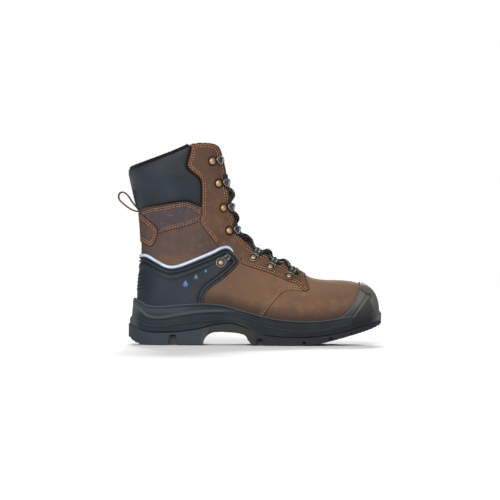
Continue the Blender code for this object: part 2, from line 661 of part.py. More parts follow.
def build_midsole(boot):
    steps = [(level(BELOW_FLOOR), *WALL_STEPS[0][1:])]
    steps += [(between(share), stand_out, flare) for share, stand_out, flare in WALL_STEPS]
    steps += [(level(SOLE_BODY_TOP), *WALL_STEPS[-1][1:])]
    wall = loft("midsole", sole_rings(steps), boot.parts)
    rim = outline_of(smooth(SOLE_RIM_LINE), smooth(BUMPER_STEP_LINE)[1:])
    low_part = outline_of(rim, (RIM, rim[-1, 1]), (RIM, -RIM), (-RIM, -RIM), (-RIM, rim[0, 1]))
    boolean(wall, "INTERSECT", side_prism("wall_part", low_part, boot.cutters))
    bumper = boot.form("bumper", boot.swell(BUMPER_EDGE, TOE_BUMPER, 0, *BUMPER_FULL))
    toe_part = outline_of(smooth(BUMPER_LINE), AROUND_TOE)
    boolean(bumper, "INTERSECT", side_prism("bumper_part", toe_part, boot.cutters))
    boolean(wall, "UNION", bumper)
    boolean(wall, "DIFFERENCE", boot.form("foot_room", FOOT_ROOM))
    above_parting = outline_of(offset_line(smooth(PARTING_LINE), GAP), (RIM, RIM), (-RIM, RIM))
    boolean(wall, "INTERSECT", side_prism("above_parting", above_parting, boot.cutters))
    boot.add(wall, RUBBER)


def build_outsole(boot):
    ends = (BELOW_FLOOR, TREAD_BODY_TOP)
    sole = loft("outsole", sole_rings([(level(z), WALL_STEPS[0][1], HEEL_FLARE) for z in ends]), boot.parts)
    tread = outline_of(smooth(HEEL_BEVEL), smooth(ARCH_LINE), smooth(TOE_SPRING))
    body = outline_of(tread, smooth(PARTING_LINE)[::-1])
    boolean(sole, "INTERSECT", side_prism("outsole_outline", body, boot.cutters))
    for name, x, width, roof in LUG_GAPS:
        foot, top = width / 2, width / 2 - LUG_SLOPE
        face = np.interp(x, tread[:, 0], tread[:, 1])
        half = [(foot, BELOW_FLOOR), (foot, face), (top, roof)]
        gap = [(x + reach, z) for reach, z in half] + [(x - reach, z) for reach, z in half[::-1]]
        for side in (-1, 1):
            edge = np.interp(x, *side_edge(side))
            inner = edge - side * LUG_REACH
            low_y, high_y = sorted((inner, side * RIM))
            cutter = side_prism(f"gap_{name}_{side}", gap, boot.cutters, low_y, high_y)
            boolean(sole, "DIFFERENCE", cutter)
    for name, low_x, high_x, middle_y in CHANNELS:
        along = np.linspace(low_x, high_x, CHANNEL_STEPS)
        floor = np.column_stack([along, np.interp(along, tread[:, 0], tread[:, 1])])
        channel = outline_of(floor + (0, CHANNEL_DEPTH), floor[::-1] - (0, CHANNEL_DEPTH))
        sides = middle_y - CHANNEL_WIDTH / 2, middle_y + CHANNEL_WIDTH / 2
        boolean(sole, "DIFFERENCE", side_prism(f"channel_{name}", channel, boot.cutters, *sides))
    boot.add(sole, TREAD)


def side_edge(side):
    """The sole outline's x and y along one side, heel first."""
    plan = smooth_loop(SOLE_OUTLINE, SOLE_POINTS)
    edge = plan[plan[:, 1] * side > 0]
    edge = edge[np.argsort(edge[:, 0])]
    return edge[:, 0], edge[:, 1]


def fitting_frame(boot, place, aim, offset, side):
    """A frame on the upper: X towards the throat, Z out of the leather."""
    spot, out = boot.surface_at(place[0], place[1], offset, side)
    ahead = Vector((aim[0], 0, aim[1]))
    ahead = (ahead - out * ahead.dot(out)).normalized()
    across = out.cross(ahead)
    frame = Matrix((ahead, across, out)).transposed().to_4x4()
    frame.translation = spot * MM
    return frame


def fitting_strip(name, profile, frame, collection):
    """A metal strip bent along a side profile (ahead, out), as wide as a fitting."""
    curve = flat_outline(name, profile)
    curve.extrude = FITTING_WIDTH / 2 * MM
    return mesh_from_curve(name, curve, frame @ Matrix.Rotation(math.pi / 2, 4, "X"), collection)


def ring_line():
    """Foot and closed eye of a lace ring, seen from the side; the eye is left open by a hair."""
    turn = np.radians(np.linspace(*EYE_TURN, EYE_POINTS))
    eye = [(EYE[0] + EYE_RADIUS * math.cos(a), EYE[1] + EYE_RADIUS * math.sin(a)) for a in turn]
    return outline_of(RING_STEM, eye)


def strip_profile(line):
    """Outline of a strip of a plate's thickness along a line."""
    half = PLATE / 2
    return outline_of(offset_line(line, half), offset_line(line, -half)[::-1])


def build_fitting(boot, name, place, aim, offset, side, line, foot, rivet_radius):
    """A bent strip on a round foot with a domed rivet; returns its eye and the way up the throat."""
    frame = fitting_frame(boot, place, aim, offset + PLATE_LIFT, side)
    strip = fitting_strip(name, strip_profile(line), frame, boot.parts)
    bpy.ops.mesh.primitive_cylinder_add(vertices=8, radius=foot * MM, depth=PLATE * MM)
    disc = moved(bpy.context.object, name + "_disc", boot.cutters)
    disc.matrix_basis = frame @ Matrix.Translation((0, 0, PLATE / 2 * MM))
    disc.hide_render = True
    disc.display_type = "WIRE"
    boolean(strip, "UNION", disc)
    boot.add(strip, BLACK_METAL)
    bpy.ops.mesh.primitive_uv_sphere_add(segments=6, ring_count=4, radius=rivet_radius * MM)
    rivet = moved(bpy.context.object, "rivet_" + name, boot.parts)
    bisect_dome(rivet)
    rivet.matrix_basis = frame @ Matrix.Translation((0, 0, (PLATE + GAP) * MM))
    boot.add(rivet, BRASS)
    eye = frame @ Vector((EYE[0] * MM, 0, EYE[1] * MM))
    return eye / MM, frame.to_3x3() @ Vector((0, -side, 0))


def build_fittings(boot):
    ring = (ring_line(), RING_FOOT, RING_RIVET)
    hook = (HOOK_LINE, HOOK_FOOT, HOOK_RIVET)
    eyes = {}
    for name, side in (("lateral", -1), ("medial", 1)):
        low = [
            build_fitting(boot, f"ring_{name}_{i}", place, RING_AIM, PANEL, side, *ring)
            for i, place in enumerate(RINGS, 1)
        ]
        build_fitting(boot, f"ring_{name}_ankle", ANKLE_RING, ANKLE_RING_AIM, COUNTER, side, *ring)
        high = [
            build_fitting(boot, f"hook_{name}_{i}", place, HOOK_AIM, PANEL, side, *hook)
            for i, place in enumerate(HOOKS, 1)
        ]
        eyes[name] = low + high
    return eyes


def lace_run(boot, name, start, end, collection):
    """A round lace drawn from one fitting to another over the leather and the tongue."""
    share = np.linspace(0, 1, len(LACE_LIFTS) + 2)[:, None]
    places = np.array(start) * (1 - share) + np.array(end) * share
    places[1:-1] = boot.held_off(places[1:-1], PANEL, LACE_LIFTS)
    curve = bpy.data.curves.new(name, "CURVE")
    curve.dimensions = "3D"
    curve.bevel_depth = LACE_RADIUS * MM
    curve.bevel_resolution = 1
    curve.use_fill_caps = True
    line = curve.splines.new("POLY")
    line.points.add(len(places) - 1)
    for point, place in zip(line.points, places):
        point.co = (*(place * MM), 1)
    return mesh_from_curve(name, curve, Matrix.Identity(4), collection)


def build_lace(boot, eyes):
    """A bar through the lowest rings and a cross from each pair of fittings to the next."""
    outer = eyes["lateral"][: len(RINGS) + LACED_HOOKS]
    inner = eyes["medial"][: len(RINGS) + LACED_HOOKS]
    clear = FITTING_WIDTH / 2 + LACE_CLEAR

    def below(eye):
        return eye[0] - eye[1] * clear

    def above(eye):
        return eye[0] + eye[1] * clear

    boot.add(lace_run(boot, "lace_bar", below(outer[0]), below(inner[0]), boot.parts), CORD)
    for i in range(len(outer) - 1):
        cross = lace_run(boot, f"lace_cross_{i + 1}", above(outer[i]), below(inner[i + 1]), boot.parts)
        second = lace_run(boot, f"lace_back_{i + 1}", above(inner[i]), below(outer[i + 1]), boot.cutters)
        second.hide_render = True
        second.display_type = "WIRE"
        boolean(cross, "UNION", second)
        boot.add(cross, CORD)


def moved(obj, name, collection):
    """A primitive given its name, its collection and the root as its parent."""
    for old in list(obj.users_collection):
        old.objects.unlink(obj)
    collection.objects.link(obj)
    obj.name = name
    obj.parent = bpy.data.objects[ROOT]
    return obj


def bisect_dome(obj):
    """Keeps the upper half of a sphere, closed underneath and flattened to a rivet's head."""
    work = bmesh.new()
    work.from_mesh(obj.data)
    geometry = list(work.verts) + list(work.edges) + list(work.faces)
    cut = bmesh.ops.bisect_plane(
        work, geom=geometry, dist=1e-6, plane_co=(0, 0, 0), plane_no=(0, 0, -1), clear_outer=True
    )
    rim = [e for e in cut["geom_cut"] if isinstance(e, bmesh.types.BMEdge)]
    bmesh.ops.contextual_create(work, geom=rim)
    bmesh.ops.scale(work, vec=(1, 1, DOME), verts=work.verts)
    bmesh.ops.recalc_face_normals(work, faces=work.faces)
    work.to_mesh(obj.data)
    work.free()


def main():
    for obj in list(bpy.data.objects):
        bpy.data.objects.remove(obj)
    boot = Boot()
    build_upper(boot)
    build_tongue(boot)
    build_insole(boot)
    build_panels(boot)
    build_pull_loop(boot)
    build_midsole(boot)
    build_outsole(boot)
    eyes = build_fittings(boot)
    build_lace(boot, eyes)


main()
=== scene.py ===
import math

import bpy
import numpy as np
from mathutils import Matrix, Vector
from mathutils.bvhtree import BVHTree


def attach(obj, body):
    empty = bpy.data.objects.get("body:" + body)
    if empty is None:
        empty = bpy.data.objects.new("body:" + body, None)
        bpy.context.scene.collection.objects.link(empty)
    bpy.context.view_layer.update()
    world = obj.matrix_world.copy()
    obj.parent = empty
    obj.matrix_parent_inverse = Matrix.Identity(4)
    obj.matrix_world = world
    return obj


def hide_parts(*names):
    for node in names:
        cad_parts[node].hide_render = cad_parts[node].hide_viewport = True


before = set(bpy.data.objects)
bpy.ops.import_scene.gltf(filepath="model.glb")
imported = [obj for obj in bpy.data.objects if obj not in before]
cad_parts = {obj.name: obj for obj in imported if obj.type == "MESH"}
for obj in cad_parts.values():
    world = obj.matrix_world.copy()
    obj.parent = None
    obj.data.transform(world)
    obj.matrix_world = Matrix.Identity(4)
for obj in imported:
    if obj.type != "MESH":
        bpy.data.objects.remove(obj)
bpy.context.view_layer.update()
mm = 0.001
frameShift = np.array((-0.55, 1.25, 0.0))  # from the pattern's zero to the frame's, in mm
print("frame loaded:", len(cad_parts), "nodes")


# shader maths: a Wire is a socket, and its operators add Math nodes
class Wire:
    def __init__(self, finish, socket):
        self.finish, self.socket = finish, socket

    def maths(self, operation, other=None, swapped=False):
        values = [self] if other is None else [other, self] if swapped else [self, other]
        return self.finish.node("ShaderNodeMath", {"operation": operation}, dict(enumerate(values)))

    def __add__(self, other):
        return self.maths("ADD", other)

    def __sub__(self, other):
        return self.maths("SUBTRACT", other)

    def __rsub__(self, other):
        return self.maths("SUBTRACT", other, True)

    def __mul__(self, other):
        return self.maths("MULTIPLY", other)

    __radd__ = __add__
    __rmul__ = __mul__

    def within(self, low, high):  # 0 at low, 1 at high, eased between them
        inputs = {"Value": self, "From Min": low, "From Max": high}
        return self.finish.node("ShaderNodeMapRange", {"interpolation_type": "SMOOTHSTEP"}, inputs)


class Finish:
    def __init__(self, name, **constants):
        self.material = bpy.data.materials.new(name)
        self.material.use_nodes = True
        self.tree = self.material.node_tree
        self.shader = self.tree.nodes["Principled BSDF"]
        self.place = self.node("ShaderNodeTexCoord", output=3)
        for socket, value in constants.items():
            self.put(self.shader.inputs[socket.replace("_", " ")], value)

    def node(self, kind, settings=None, inputs=None, output=0):
        made = self.tree.nodes.new(kind)
        for key, value in (settings or {}).items():
            setattr(made, key, value)
        for key, value in (inputs or {}).items():
            self.put(made.inputs[key], value)
        return Wire(self, made.outputs[output])

    def put(self, socket, value):
        if isinstance(value, Wire):
            self.tree.links.new(value.socket, socket)
        else:
            socket.default_value = value

    def noise(self, scale, detail=3.0, where=None):
        inputs = {"Vector": where or self.place, "Scale": scale, "Detail": detail}
        return self.node("ShaderNodeTexNoise", None, inputs)

    def cells(self, scale, feature="DISTANCE_TO_EDGE"):
        inputs = {"Vector": self.place, "Scale": scale}
        return self.node("ShaderNodeTexVoronoi", {"feature": feature}, inputs)

    def mark(self, name):  # a value that the piece carries in its own attribute
        return self.node("ShaderNodeAttribute", {"attribute_name": name}, None, 2)

    def blend(self, factor, first, second):
        return self.node("ShaderNodeMix", {"data_type": "RGBA"}, {0: factor, 6: first, 7: second}, 2)

    def stretched(self, scale):  # the piece's coordinates, drawn out along an axis
        return self.node("ShaderNodeMapping", None, {"Vector": self.place, "Scale": scale})

    def axis(self, index):
        return self.node("ShaderNodeSeparateXYZ", None, {0: self.place}, index)

    def colour(self, value):
        self.put(self.shader.inputs["Base Color"], value)

    def rough(self, value):
        self.put(self.shader.inputs["Roughness"], value)

    def bump(self, height, distance, strength=1.0):
        inputs = {"Strength": strength, "Distance": distance * mm, "Height": height}
        self.put(self.shader.inputs["Normal"], self.node("ShaderNodeBump", None, inputs))


def screen(red, green, blue):  # a screen colour, 0 to 255, as the linear colour a shader takes
    value = np.array((red, green, blue)) / 255
    value = np.where(value <= 0.04045, value / 12.92, ((value + 0.055) / 1.055) ** 2.4)
    return (*value.tolist(), 1.0)


leatherLook = {
    "cloud": 16, "fleck": 120, "streak": 60, "soft": 260, "pebble": 1100, "nap": 3200,  # repeats a metre
    "vamp": (103, 80, 63), "vampDeep": (85, 67, 56), "vampWarm": (115, 85, 62),
    "stay": (90, 69, 56), "stayDeep": (73, 57, 49), "stayWarm": (103, 77, 58),
    "shaft": (80, 66, 61), "shaftDeep": (69, 58, 55), "shaftWarm": (89, 71, 62),
    "band": (70, 63, 65), "bandDeep": (62, 56, 58), "bandWarm": (78, 67, 66),
    # the dark tone for low on the upper is painted shade
    "margin": (92, 58, 41), "lowShade": (50, 42, 39), "cut": (50, 31, 23), "scuff": (132, 108, 86),
    # the pale tone for the vamp's top is a painted sheen
    "vampSheen": (140, 113, 92), "shine": 0.01,
}


def tone(name):
    return screen(*leatherLook[name])


def hide(finish, name):
    # clouded leather colour: a base tone, a deep one in clouds and a warm one in flecks
    cloud = finish.noise(leatherLook["cloud"], 5.0)
    fleck = finish.noise(leatherLook["fleck"], 6.0)
    nap = finish.noise(leatherLook["nap"] / 4, 2.0)
    plain = finish.blend(cloud.within(0.38, 0.68) * 0.7, tone(name), tone(name + "Deep"))
    plain = finish.blend(fleck.within(0.42, 0.72) * 0.6, plain, tone(name + "Warm"))
    streak = finish.noise(leatherLook["streak"], 4.0, finish.stretched((1.0, 1.0, 5.0))).within(0.62, 0.72)
    plain = finish.blend(streak * fleck.within(0.45, 0.6) * 0.3, plain, tone("scuff"))
    return finish.blend(nap.within(0.5, 0.75) * 0.35, plain, tone(name + "Deep"))


def grain(finish):
    pebble = finish.cells(leatherLook["pebble"]).within(0.0, 0.22)
    nap = finish.noise(leatherLook["nap"], 2.0)
    soft = finish.noise(leatherLook["soft"], 3.0)
    finish.bump(pebble * 0.35 + nap * 0.5 + soft * 0.9, 0.16, 0.75)
    finish.rough(0.72 + finish.noise(90, 3.0) * 0.2)


def stitchRows(edge):  # 1 on the two sewn lines inside an edge
    first = edge.within(1.7, 2.2) * edge.within(3.1, 2.6)
    return first + edge.within(4.1, 4.6) * edge.within(5.5, 5.0)


def leatherPanel(name, tones):
    # darker towards the collar, with a dark cut edge and a warmer stitched margin inside it
    finish = Finish(name, Specular_IOR_Level=leatherLook["shine"])
    edge = finish.mark("edge")
    high = finish.axis(2).within(0.16, 0.23)
    body = finish.blend(high * 0.7, hide(finish, tones), tone(tones + "Deep"))
    body = finish.blend(edge.within(7.0, 5.2) * 0.2, body, tone("margin"))
    body = finish.blend(stitchRows(edge) * 0.6, body, tone("cut"))
    finish.colour(finish.blend(edge.within(0.8, 0.1), body, tone("cut")))
    grain(finish)
    return finish


def upperFinish():
    # vamp, quarter and shaft: a painted sheen over the instep, darker to the rear, and painted shade towards the
    # sole
    finish = Finish("upper_leather", Specular_IOR_Level=leatherLook["shine"])
    shaft = finish.mark("shaft")
    seam = finish.mark("seam")
    low = finish.mark("low")
    body = finish.blend(shaft, hide(finish, "vamp"), hide(finish, "shaft"))
    # painted sheen: the top of the vamp made paler, where light falls on it
    top = finish.axis(0).within(0.03, 0.08) * finish.axis(2).within(0.055, 0.082)
    body = finish.blend(top * 0.6, body, tone("vampSheen"))
    rear = finish.axis(0).within(0.03, -0.03) * (1 - shaft)
    body = finish.blend(rear * 0.6, body, tone("vampDeep"))
    body = finish.blend(stitchRows(seam) * 0.55, body, tone("cut"))
    # painted shade: darker in patches low on the upper, towards the sole
    patchy = finish.noise(40, 3.0) * 9.0
    body = finish.blend((low - patchy).within(14.0, -3.0) * 0.75, body, tone("lowShade"))
    finish.colour(finish.blend(seam.within(-0.9, -0.1) * seam.within(0.5, 0.0) * 0.8, body, tone("cut")))
    grain(finish)
    return finish


rubberLook = {
    "sole": (38, 45, 51), "soleDeep": (30, 34, 38), "soleWornSheen": (78, 82, 85), "soleDark": (29, 30, 31),
    "soleHeel": (54, 60, 66), "toe": (92, 91, 85), "counter": (28, 35, 43), "counterDeep": (22, 28, 34),
    "counterRimSheen": (54, 58, 62), "counterGrooveShade": (6, 7, 9), "tread": (42, 49, 55), "treadFore": (27, 32, 37),
    "treadDirt": (70, 66, 50), "archDark": (26, 25, 20),
}
rubber = {name: screen(*value) for name, value in rubberLook.items()}


def soleFinish():
    # moulded sole: slate sides, paler at the heel, grey at the toe, palest in a painted highlight along the
    # ridge crests and the rim
    finish = Finish("sole_rubber", Specular_IOR_Level=0.06)
    # painted highlight: pale along the ridge crests and the rim
    worn = finish.mark("crest")
    top = finish.axis(0).within(0.1, 0.135) * finish.axis(2).within(0.026, 0.06)
    front = finish.axis(0).within(0.147, 0.156) * 0.8
    body = finish.blend(finish.noise(22, 4.0).within(0.35, 0.7), rubber["sole"], rubber["soleDeep"])
    heel = finish.axis(0).within(-0.055, -0.085) * finish.axis(2).within(0.034, 0.042)
    body = finish.blend(heel * 0.85, body, rubber["soleHeel"])
    back = finish.axis(0).within(-0.131, -0.141)
    body = finish.blend(back * 0.6, body, rubber["soleWornSheen"])
    body = finish.blend(top.maths("MAXIMUM", front), body, rubber["toe"])
    # painted shade: dark in the lines under the ridges, under the lip and in the sunk toe facet
    body = finish.blend(finish.mark("hollow") * 0.75, body, rubber["soleDark"])
    finish.colour(finish.blend(worn.within(0.2, 1.0) * 0.6, body, rubber["soleWornSheen"]))
    finish.rough(0.5 + finish.noise(60, 3.0) * 0.2)
    finish.bump(finish.noise(1500, 2.0) + finish.noise(300, 2.0), 0.06, 0.5)
    return finish


def counterFinish():
    finish = Finish("counter_rubber", Specular_IOR_Level=0.18)
    cloud = finish.noise(30, 3.0).within(0.3, 0.75)
    body = finish.blend(cloud, rubber["counter"], rubber["counterDeep"])
    # a painted highlight on the raised rims and painted shade in the grooves
    body = finish.blend(finish.mark("rim") * 0.7, body, rubber["counterRimSheen"])
    finish.colour(finish.blend(finish.mark("groove"), body, rubber["counterGrooveShade"]))
    finish.rough(0.46 + finish.noise(80, 3.0) * 0.16)
    finish.bump(finish.cells(1700, "F1") + finish.noise(420, 2.0), 0.05, 0.6)
    return finish


def treadFinish():
    # outer sides of the lugs are slate; the faces that tread the ground are dusty olive
    finish = Finish("tread_rubber", Specular_IOR_Level=0.15)
    under = finish.mark("under")
    dust = under * (0.45 + finish.noise(50, 4.0) * 0.6)
    slate = finish.blend(finish.axis(0).within(-0.03, 0.02), rubber["tread"], rubber["treadFore"])
    body = finish.blend(dust, slate, rubber["treadDirt"])
    finish.colour(finish.blend(finish.mark("shade"), body, rubber["archDark"]))
    finish.rough(0.52 + finish.noise(70, 3.0) * 0.25)
    finish.bump(finish.noise(900, 3.0), 0.08, 0.6)
    return finish


pairLook = {  # two tones of each small finish
    "pad": ((33, 41, 49), (23, 29, 35)), "padEdgeShade": ((18, 20, 23), (6, 6, 7)),
    "piping": ((176, 187, 204), (142, 155, 177)), "metal": ((20, 21, 22), (112, 113, 110)),
    "brass": ((176, 144, 98), (138, 106, 66)), "lace": ((24, 25, 26), (112, 114, 104)),
    "thread": ((176, 136, 102), (136, 100, 70)), "drop": ((42, 96, 140), (30, 72, 112)),
    "lining": ((17, 17, 18), (36, 37, 39)), "footbed": ((34, 36, 40), (74, 78, 84)),
    "tongue": ((19, 19, 20), (38, 39, 41)), "binding": ((7, 7, 8), (14, 14, 15)),
    "loop": ((58, 30, 24), (104, 62, 48)),
}


def paired(finish, name, factor):
    first, second = pairLook[name]
    return finish.blend(factor, screen(*first), screen(*second))


def padFinish():
    finish = Finish("pad_leather", Specular_IOR_Level=0.22)
    edge = finish.mark("edge")
    cloud = finish.noise(18, 3.0).within(0.35, 0.7)
    # painted shade: darker towards the pad's edges, with a painted shadow line along its seam
    dim, seam = pairLook["padEdgeShade"]
    body = finish.blend(edge.within(9.0, 1.5) * 0.55, paired(finish, "pad", cloud), screen(*dim))
    finish.colour(finish.blend(edge.within(3.0, 2.2), body, screen(*seam)))
    pebble = finish.cells(1500).within(0.0, 0.25)
    finish.bump(pebble * 0.5 + finish.noise(500, 3.0), 0.09, 0.6)
    finish.rough(0.42 + finish.noise(110, 3.0) * 0.15)
    return finish


def clothFinish(name, tones, pitch):
    # plain weave: sines of the two directions multiplied, one repeat every pitch, with a clouded thread
    finish = Finish(name, Specular_IOR_Level=0.2, Sheen_Weight=0.1)
    turn = 2 * math.pi / (pitch * mm)
    cloud = finish.noise(120, 3.0)
    level, upright = finish.axis(0) + finish.axis(1), finish.axis(2)
    weave = (level * turn).maths("SINE") * (upright * turn).maths("SINE")
    finish.colour(paired(finish, tones, (weave * 0.5 + cloud).within(0.1, 1.0)))
    finish.rough(0.8 + cloud * 0.15)
    finish.bump(weave, 0.12, 0.6)
    return finish


def pipingFinish():
    # pale reflective cord, rubbed blue-grey in places
    finish = Finish("piping_strip", Specular_IOR_Level=0.3)
    worn = finish.noise(60, 3.0)
    finish.colour(paired(finish, "piping", worn.within(0.4, 0.7)))
    finish.rough(0.34 + worn * 0.12)
    finish.bump(finish.noise(1800, 2.0), 0.05, 0.4)
    return finish


def metalFinish():
    # blackened steel, rubbed to pewter where the lace runs
    finish = Finish("fitting_metal", Metallic=0.6)
    wear = finish.mark("wear")
    rub = (wear + finish.noise(420, 4.0) * 0.7 - 0.35).within(0.3, 0.75)
    finish.colour(paired(finish, "metal", rub))
    finish.rough(0.34 + finish.noise(300, 3.0) * 0.2)
    finish.bump(finish.noise(900, 3.0), 0.08, 0.5)
    return finish


def brassFinish():
    finish = Finish("rivet_brass", Metallic=0.6)
    worn = finish.noise(700, 3.0)
    finish.colour(paired(finish, "brass", worn.within(0.35, 0.7)))
    finish.rough(0.3 + worn * 0.2)
    return finish


def laceFinish():
    # braid of two slanted waves round the cord, with pale flecks along it
    finish = Finish("lace_braid", Specular_IOR_Level=0.25)
    along, around = finish.mark("along"), finish.mark("around")
    rise = (along * 1.1 + around * 4.0).maths("SINE")
    fall = (along * 1.1 - around * 4.0).maths("SINE")
    braid = rise.maths("MAXIMUM", fall)
    fleck = (along * 0.55 + around * 2.0).maths("SINE") * (along * 0.55 - around * 2.0).maths("SINE")
    spot = finish.noise(240, 2.0)
    pale = fleck.within(0.55, 0.8) * spot.within(0.45, 0.6)
    finish.colour(paired(finish, "lace", pale))
    finish.rough(0.82 + spot * 0.1)
    finish.bump(braid, 0.35, 0.8)
    return finish


def threadFinish():
    finish = Finish("thread", Specular_IOR_Level=0.3)
    finish.colour(paired(finish, "thread", finish.noise(260, 2.0).within(0.3, 0.7)))
    finish.rough(0.6 + finish.noise(900, 2.0) * 0.2)
    finish.bump(finish.noise(2600, 2.0), 0.1, 0.6)
    return finish


def dropFinish():
    finish = Finish("drop_blue", Specular_IOR_Level=0.5)
    finish.colour(paired(finish, "drop", finish.noise(300, 2.0).within(0.3, 0.7)))
    finish.rough(0.4 + finish.noise(200, 2.0) * 0.1)
    return finish


# smooth lines and small plane geometry, all in mm
def splineAt(values, places):
    # natural cubic spline through values at 0, 1, 2, ... read at places
    values = np.asarray(values, float)
    count = len(values)
    system = np.eye(count)
    right = np.zeros_like(values)
    for i in range(1, count - 1):
        system[i, i - 1 : i + 2] = 1, 4, 1
        right[i] = 6 * (values[i - 1] - 2 * values[i] + values[i + 1])
    bend = np.linalg.solve(system, right)
    span = np.clip(np.floor(places).astype(int), 0, count - 2)
    t = (np.asarray(places, float) - span)[:, None]
    a, b = values[span], values[span + 1]
    return a + (b - a) * t - t * (1 - t) * ((2 - t) * bend[span] + (1 + t) * bend[span + 1]) / 6


def smoothLine(points, perSpan=8):
    # centripetal curve through the points: three rounds of mixing neighbours by knot distance
    p = np.asarray(points, float)
    p = np.concatenate([[2 * p[0] - p[1]], p, [2 * p[-1] - p[-2]]])
    knot = np.concatenate([[0], np.cumsum(np.linalg.norm(np.diff(p, axis=0), axis=1) ** 0.5)])
    spans = len(p) - 3
    k = [knot[i : i + spans, None, None] for i in range(4)]
    q = [p[i : i + spans, None, :] for i in range(4)]
    t = k[1] + (k[2] - k[1]) * np.linspace(0, 1, perSpan, endpoint=False)[None, :, None]

    def between(low, high, first, second):
        return ((high - t) * first + (t - low) * second) / (high - low)

    a = [between(k[i], k[i + 1], q[i], q[i + 1]) for i in range(3)]
    b = [between(k[i], k[i + 2], a[i], a[i + 1]) for i in range(2)]
    curve = between(k[1], k[2], b[0], b[1]).reshape(-1, p.shape[1])
    return np.concatenate([curve, p[-2:-1]])


def smoothLoop(points, count):
    # closed spline through the points, then even steps along it
    points = np.asarray(points, float)
    lap, fine = len(points), 4000
    extended = np.concatenate([points[-4:], points, points[:4]])
    dense = splineAt(extended, 4 + np.arange(fine + 1) * lap / fine)
    return evenSteps(dense, count + 1)[:-1]


def lengthAlong(line):
    return np.concatenate([[0], np.cumsum(np.linalg.norm(np.diff(line, axis=0), axis=1))])


def evenSteps(line, count):
    length = lengthAlong(line)
    want = np.linspace(0, length[-1], count)
    return np.stack([np.interp(want, length, line[:, i]) for i in range(line.shape[1])], axis=1)


def lineHeight(line, x):
    line = smoothLine(line)
    order = np.argsort(line[:, 0])
    return np.interp(x, line[order, 0], line[order, 1])


def unit(vectors):
    return vectors / np.maximum(np.linalg.norm(vectors, axis=-1, keepdims=True), 1e-9)


def wayAlong(line, closed=False):
    return unit(np.roll(line, -1, axis=0) - np.roll(line, 1, axis=0) if closed else np.gradient(line, axis=0))


def offsetLine(line, distance, closed=False):
    # a line moved to its left
    line = np.asarray(line, float)
    way = wayAlong(line, closed)
    return line + distance * np.stack([-way[:, 1], way[:, 0]], axis=1)


def fromSegment(a, b, start, end):
    # the share along a segment that lies nearest to each place, and the squared distance to it
    (ax, ay), (wayX, wayY) = start, np.subtract(end, start)
    share = np.clip(((a - ax) * wayX + (b - ay) * wayY) / (wayX**2 + wayY**2 + 1e-12), 0, 1)
    return share, (ax + wayX * share - a) ** 2 + (ay + wayY * share - b) ** 2


def polygonDepth(outline, a, b):
    # distance from places to a polygon's edge, positive inside: nearest segment, sign by crossings
    a, b = np.asarray(a, float), np.asarray(b, float)
    nearest = np.full(a.shape, 1e12)
    inside = np.zeros(a.shape, bool)
    for start, end in zip(outline, np.roll(outline, -1, axis=0)):
        nearest = np.minimum(nearest, fromSegment(a, b, start, end)[1])
        (ax, ay), (bx, by) = start, end
        if by != ay:
            inside ^= ((ay > b) != (by > b)) & (a < (bx - ax) * (b - ay) / (by - ay) + ax)
    return np.where(inside, 1, -1) * np.sqrt(nearest)


def eased(x, low, high):
    t = np.clip((x - low) / (high - low), 0, 1)
    return t * t * (3 - 2 * t)


def spanShare(look, x):  # 0 to 1 between the two ends that a look names
    return np.clip((x - look["from"]) / (look["to"] - look["from"]), 0, 1)


def bell(x, width):
    return np.exp(-((x / width) ** 2))


def joined(*parts):
    return np.concatenate([np.asarray(part, float).reshape(-1, 2) for part in parts])


# the last: leaning sections from the toe root to above the collar
last = {
    "length": 288.0, "heel": -134.0, "ballWidth": 103.0, "toeSeat": 22.0, "tipSeat": 29.0,
    "toePower": 3.3, "crown": 0.6,  # crown: share of a half section that lies above its widest place
    "sections": (  # along top, top z, along base, base z, widest at, outer, inner, ridge y, powers
        (0.795, 78.4, 0.795, 22.0, 0.00, 0.490, 0.462, 5.0, 2.50, 4.0),
        (0.743, 80.2, 0.688, 18.0, 0.04, 0.503, 0.480, 4.0, 2.45, 5.0),
        (0.691, 86.5, 0.583, 17.5, 0.08, 0.498, 0.476, 3.0, 2.35, 5.0),
        (0.632, 97.0, 0.472, 22.5, 0.12, 0.466, 0.428, 2.0, 2.20, 5.0),
        (0.569, 108.0, 0.340, 28.0, 0.18, 0.422, 0.390, 1.0, 2.10, 5.0),
        (0.510, 118.5, 0.208, 30.0, 0.26, 0.384, 0.370, 0.0, 2.00, 5.0),
        (0.465, 127.5, 0.083, 30.0, 0.34, 0.364, 0.364, 0.0, 2.00, 4.5),
        (0.441, 138.0, 0.010, 42.0, 0.40, 0.359, 0.359, 0.0, 2.00, 3.2),
        (0.425, 150.0, 0.000, 68.0, 0.44, 0.359, 0.359, 0.0, 2.05, 2.6),
        (0.413, 165.0, 0.009, 97.0, 0.46, 0.369, 0.369, 0.0, 2.10, 2.4),
        (0.401, 184.0, 0.011, 126.0, 0.48, 0.388, 0.388, 0.0, 2.20, 2.3),
        (0.389, 204.0, 0.003, 157.0, 0.48, 0.417, 0.417, 0.0, 2.25, 2.3),
        (0.375, 226.0, -0.012, 190.0, 0.49, 0.447, 0.447, 0.0, 2.30, 2.3),
        (0.359, 262.0, -0.030, 230.0, 0.50, 0.466, 0.466, 0.0, 2.30, 2.3),
    ),
}
lastRows = np.array(last["sections"])
lastRows[:, [0, 2]] = last["heel"] + last["length"] * lastRows[:, [0, 2]]
lastRows[:, [5, 6]] *= last["ballWidth"]
lastEnd = len(lastRows) - 1.0


def evenTurn(share, power):
    # angle for a share of a superellipse's arc, so that steps along it stay even
    first, second = share ** (power / 2), (1 - share) ** (power / 2)
    return first / (first + second) * math.pi / 2


